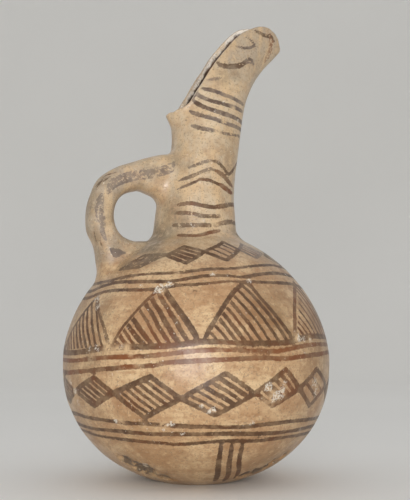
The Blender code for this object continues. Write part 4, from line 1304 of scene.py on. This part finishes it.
class StudioSettings(bpy.types.PropertyGroup):
    paper: colour_choice("Paper", "Colour of the floor and backdrop", 0xF5F4F1)
    stage_radius: amount("Stage radius", "Radius of the round stage", 1.6, 0.8, 5, unit="LENGTH")
    sides: IntProperty(name="Stage sides", description="Facets round the stage", default=128, min=32, max=512)
    key_power: amount("Key light", "Power of the soft light beside the camera in watts", 3.4, 0, 100)
    sky: amount("Surround", "Strength of the even light around", 0.6, 0, 10)
    distance: amount("Camera distance", "From the jug's axis", 0.47, 0.2, 3, unit="LENGTH")
    height: amount("Camera height", "Above the floor", 0.0664, 0.01, 1, unit="LENGTH")
    swing: amount("Camera swing", "Round the jug, from straight in front of its side", math.radians(-20),
                  -math.pi, math.pi, subtype="ANGLE")
    tilt: amount("Camera tilt", "Upwards from level", math.radians(6.263), -1, 1, subtype="ANGLE")
    turn: amount("Camera turn", "To the right of the jug's axis", math.radians(0.541), -1, 1, subtype="ANGLE")
    lens: amount("Lens", "Focal length in mm", 64.8, 20, 200)


class JUG_OT_clay(bpy.types.Operator):
    """Build the jug's clay body with its handle, painting, chips, dirt and painted shade"""

    bl_idname = "jug.make_clay"
    bl_label = "Make the painted jug"
    bl_options = {"REGISTER", "UNDO"}

    def execute(self, context):
        settings = context.scene.jug_clay
        jug = clay_body(settings)
        jug.data.materials.append(slipped_fired_clay(settings))
        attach(jug, "root")
        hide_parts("jug")
        return {"FINISHED"}


class JUG_OT_studio(bpy.types.Operator):
    """Build the pale round stage, the soft lights and the camera"""

    bl_idname = "jug.make_studio"
    bl_label = "Make the studio"
    bl_options = {"REGISTER", "UNDO"}

    def execute(self, context):
        settings = context.scene.jug_studio
        floor = stage(settings)
        floor.data.materials.append(studio_paper(settings.paper))
        soft_light("key_light", settings.key_power)
        context.scene.view_settings.view_transform = "Standard"
        world = bpy.data.worlds.new("studio_air")
        world.use_nodes = True
        air = world.node_tree.nodes["Background"]
        air.inputs["Strength"].default_value = settings.sky
        air.inputs["Color"].default_value = (1, 1, 1, 1)
        context.scene.world = world
        add_camera(context.scene, settings)
        return {"FINISHED"}


class JUG_PT_panel(bpy.types.Panel):
    bl_label = "Painted jug"
    bl_idname = "JUG_PT_panel"
    bl_space_type = "VIEW_3D"
    bl_region_type = "UI"
    bl_category = "Jug"

    def draw(self, context):
        scene = context.scene
        for settings, action in ((scene.jug_clay, JUG_OT_clay), (scene.jug_studio, JUG_OT_studio)):
            box = self.layout.box()
            for name in settings.__annotations__:
                box.prop(settings, name)
            box.operator(action.bl_idname)


def stage(settings):
    """A round floor whose edge sweeps up: a disc, a quarter circle and an upright wall, turned round Z."""
    reach = settings.stage_radius / MM
    bend = np.linspace(0, math.pi / 2, 13)
    sweep = reach * 0.4
    radius = np.concatenate([[reach * 0.15, reach * 0.4, reach * 0.7], reach + sweep * np.sin(bend)])
    height = np.concatenate([[0, 0, 0], sweep * (1 - np.cos(bend))])
    radius = np.append(radius, radius[-1])
    height = np.append(height, height[-1] + reach * 0.4)
    theta = columns(settings.sides)
    rings = [round_ring(theta, r, 0, h) for r, h in zip(radius, height)]
    rings = [np.zeros((1, 3)), *rings]
    floor = skin("studio_floor", rings, [0] * (len(rings) - 1), [])
    floor.data.flip_normals()
    floor.data.shade_smooth()
    return floor


def soft_light(name, power):
    """A round soft lamp that the camera doesn't see."""
    data = bpy.data.lights.new(name, "AREA")
    data.shape = "DISK"
    data.size = KEY_SIZE
    data.energy = power
    light = bpy.data.objects.new(name, data)
    light.location = KEY_PLACE
    light.visible_camera = False
    light.rotation_euler = (Vector(KEY_AIM) - Vector(KEY_PLACE)).to_track_quat("-Z", "Y").to_euler()
    bpy.context.scene.collection.objects.link(light)


def add_camera(scene, settings):
    """The camera at the settings' distance and swing round the jug, turned and tilted by them."""
    data = bpy.data.cameras.new("camera")
    data.lens = settings.lens
    data.sensor_width = 36.0
    camera = bpy.data.objects.new("camera", data)
    swing = settings.swing
    reach = settings.distance
    camera.location = (math.sin(swing) * reach, -math.cos(swing) * reach, settings.height)
    camera.rotation_euler = (math.pi / 2 + settings.tilt, 0, swing - settings.turn)
    scene.collection.objects.link(camera)
    scene.camera = camera


CLASSES = (ClaySettings, StudioSettings, JUG_OT_clay, JUG_OT_studio, JUG_PT_panel)


def register():
    for cls in CLASSES:
        bpy.utils.register_class(cls)
    bpy.types.Scene.jug_clay = PointerProperty(type=ClaySettings)
    bpy.types.Scene.jug_studio = PointerProperty(type=StudioSettings)


def unregister():
    del bpy.types.Scene.jug_studio
    del bpy.types.Scene.jug_clay
    for cls in reversed(CLASSES):
        bpy.utils.unregister_class(cls)


def main():
    register()
    bpy.ops.jug.make_clay()
    bpy.ops.jug.make_studio()


if __name__ == "__main__":
    main()
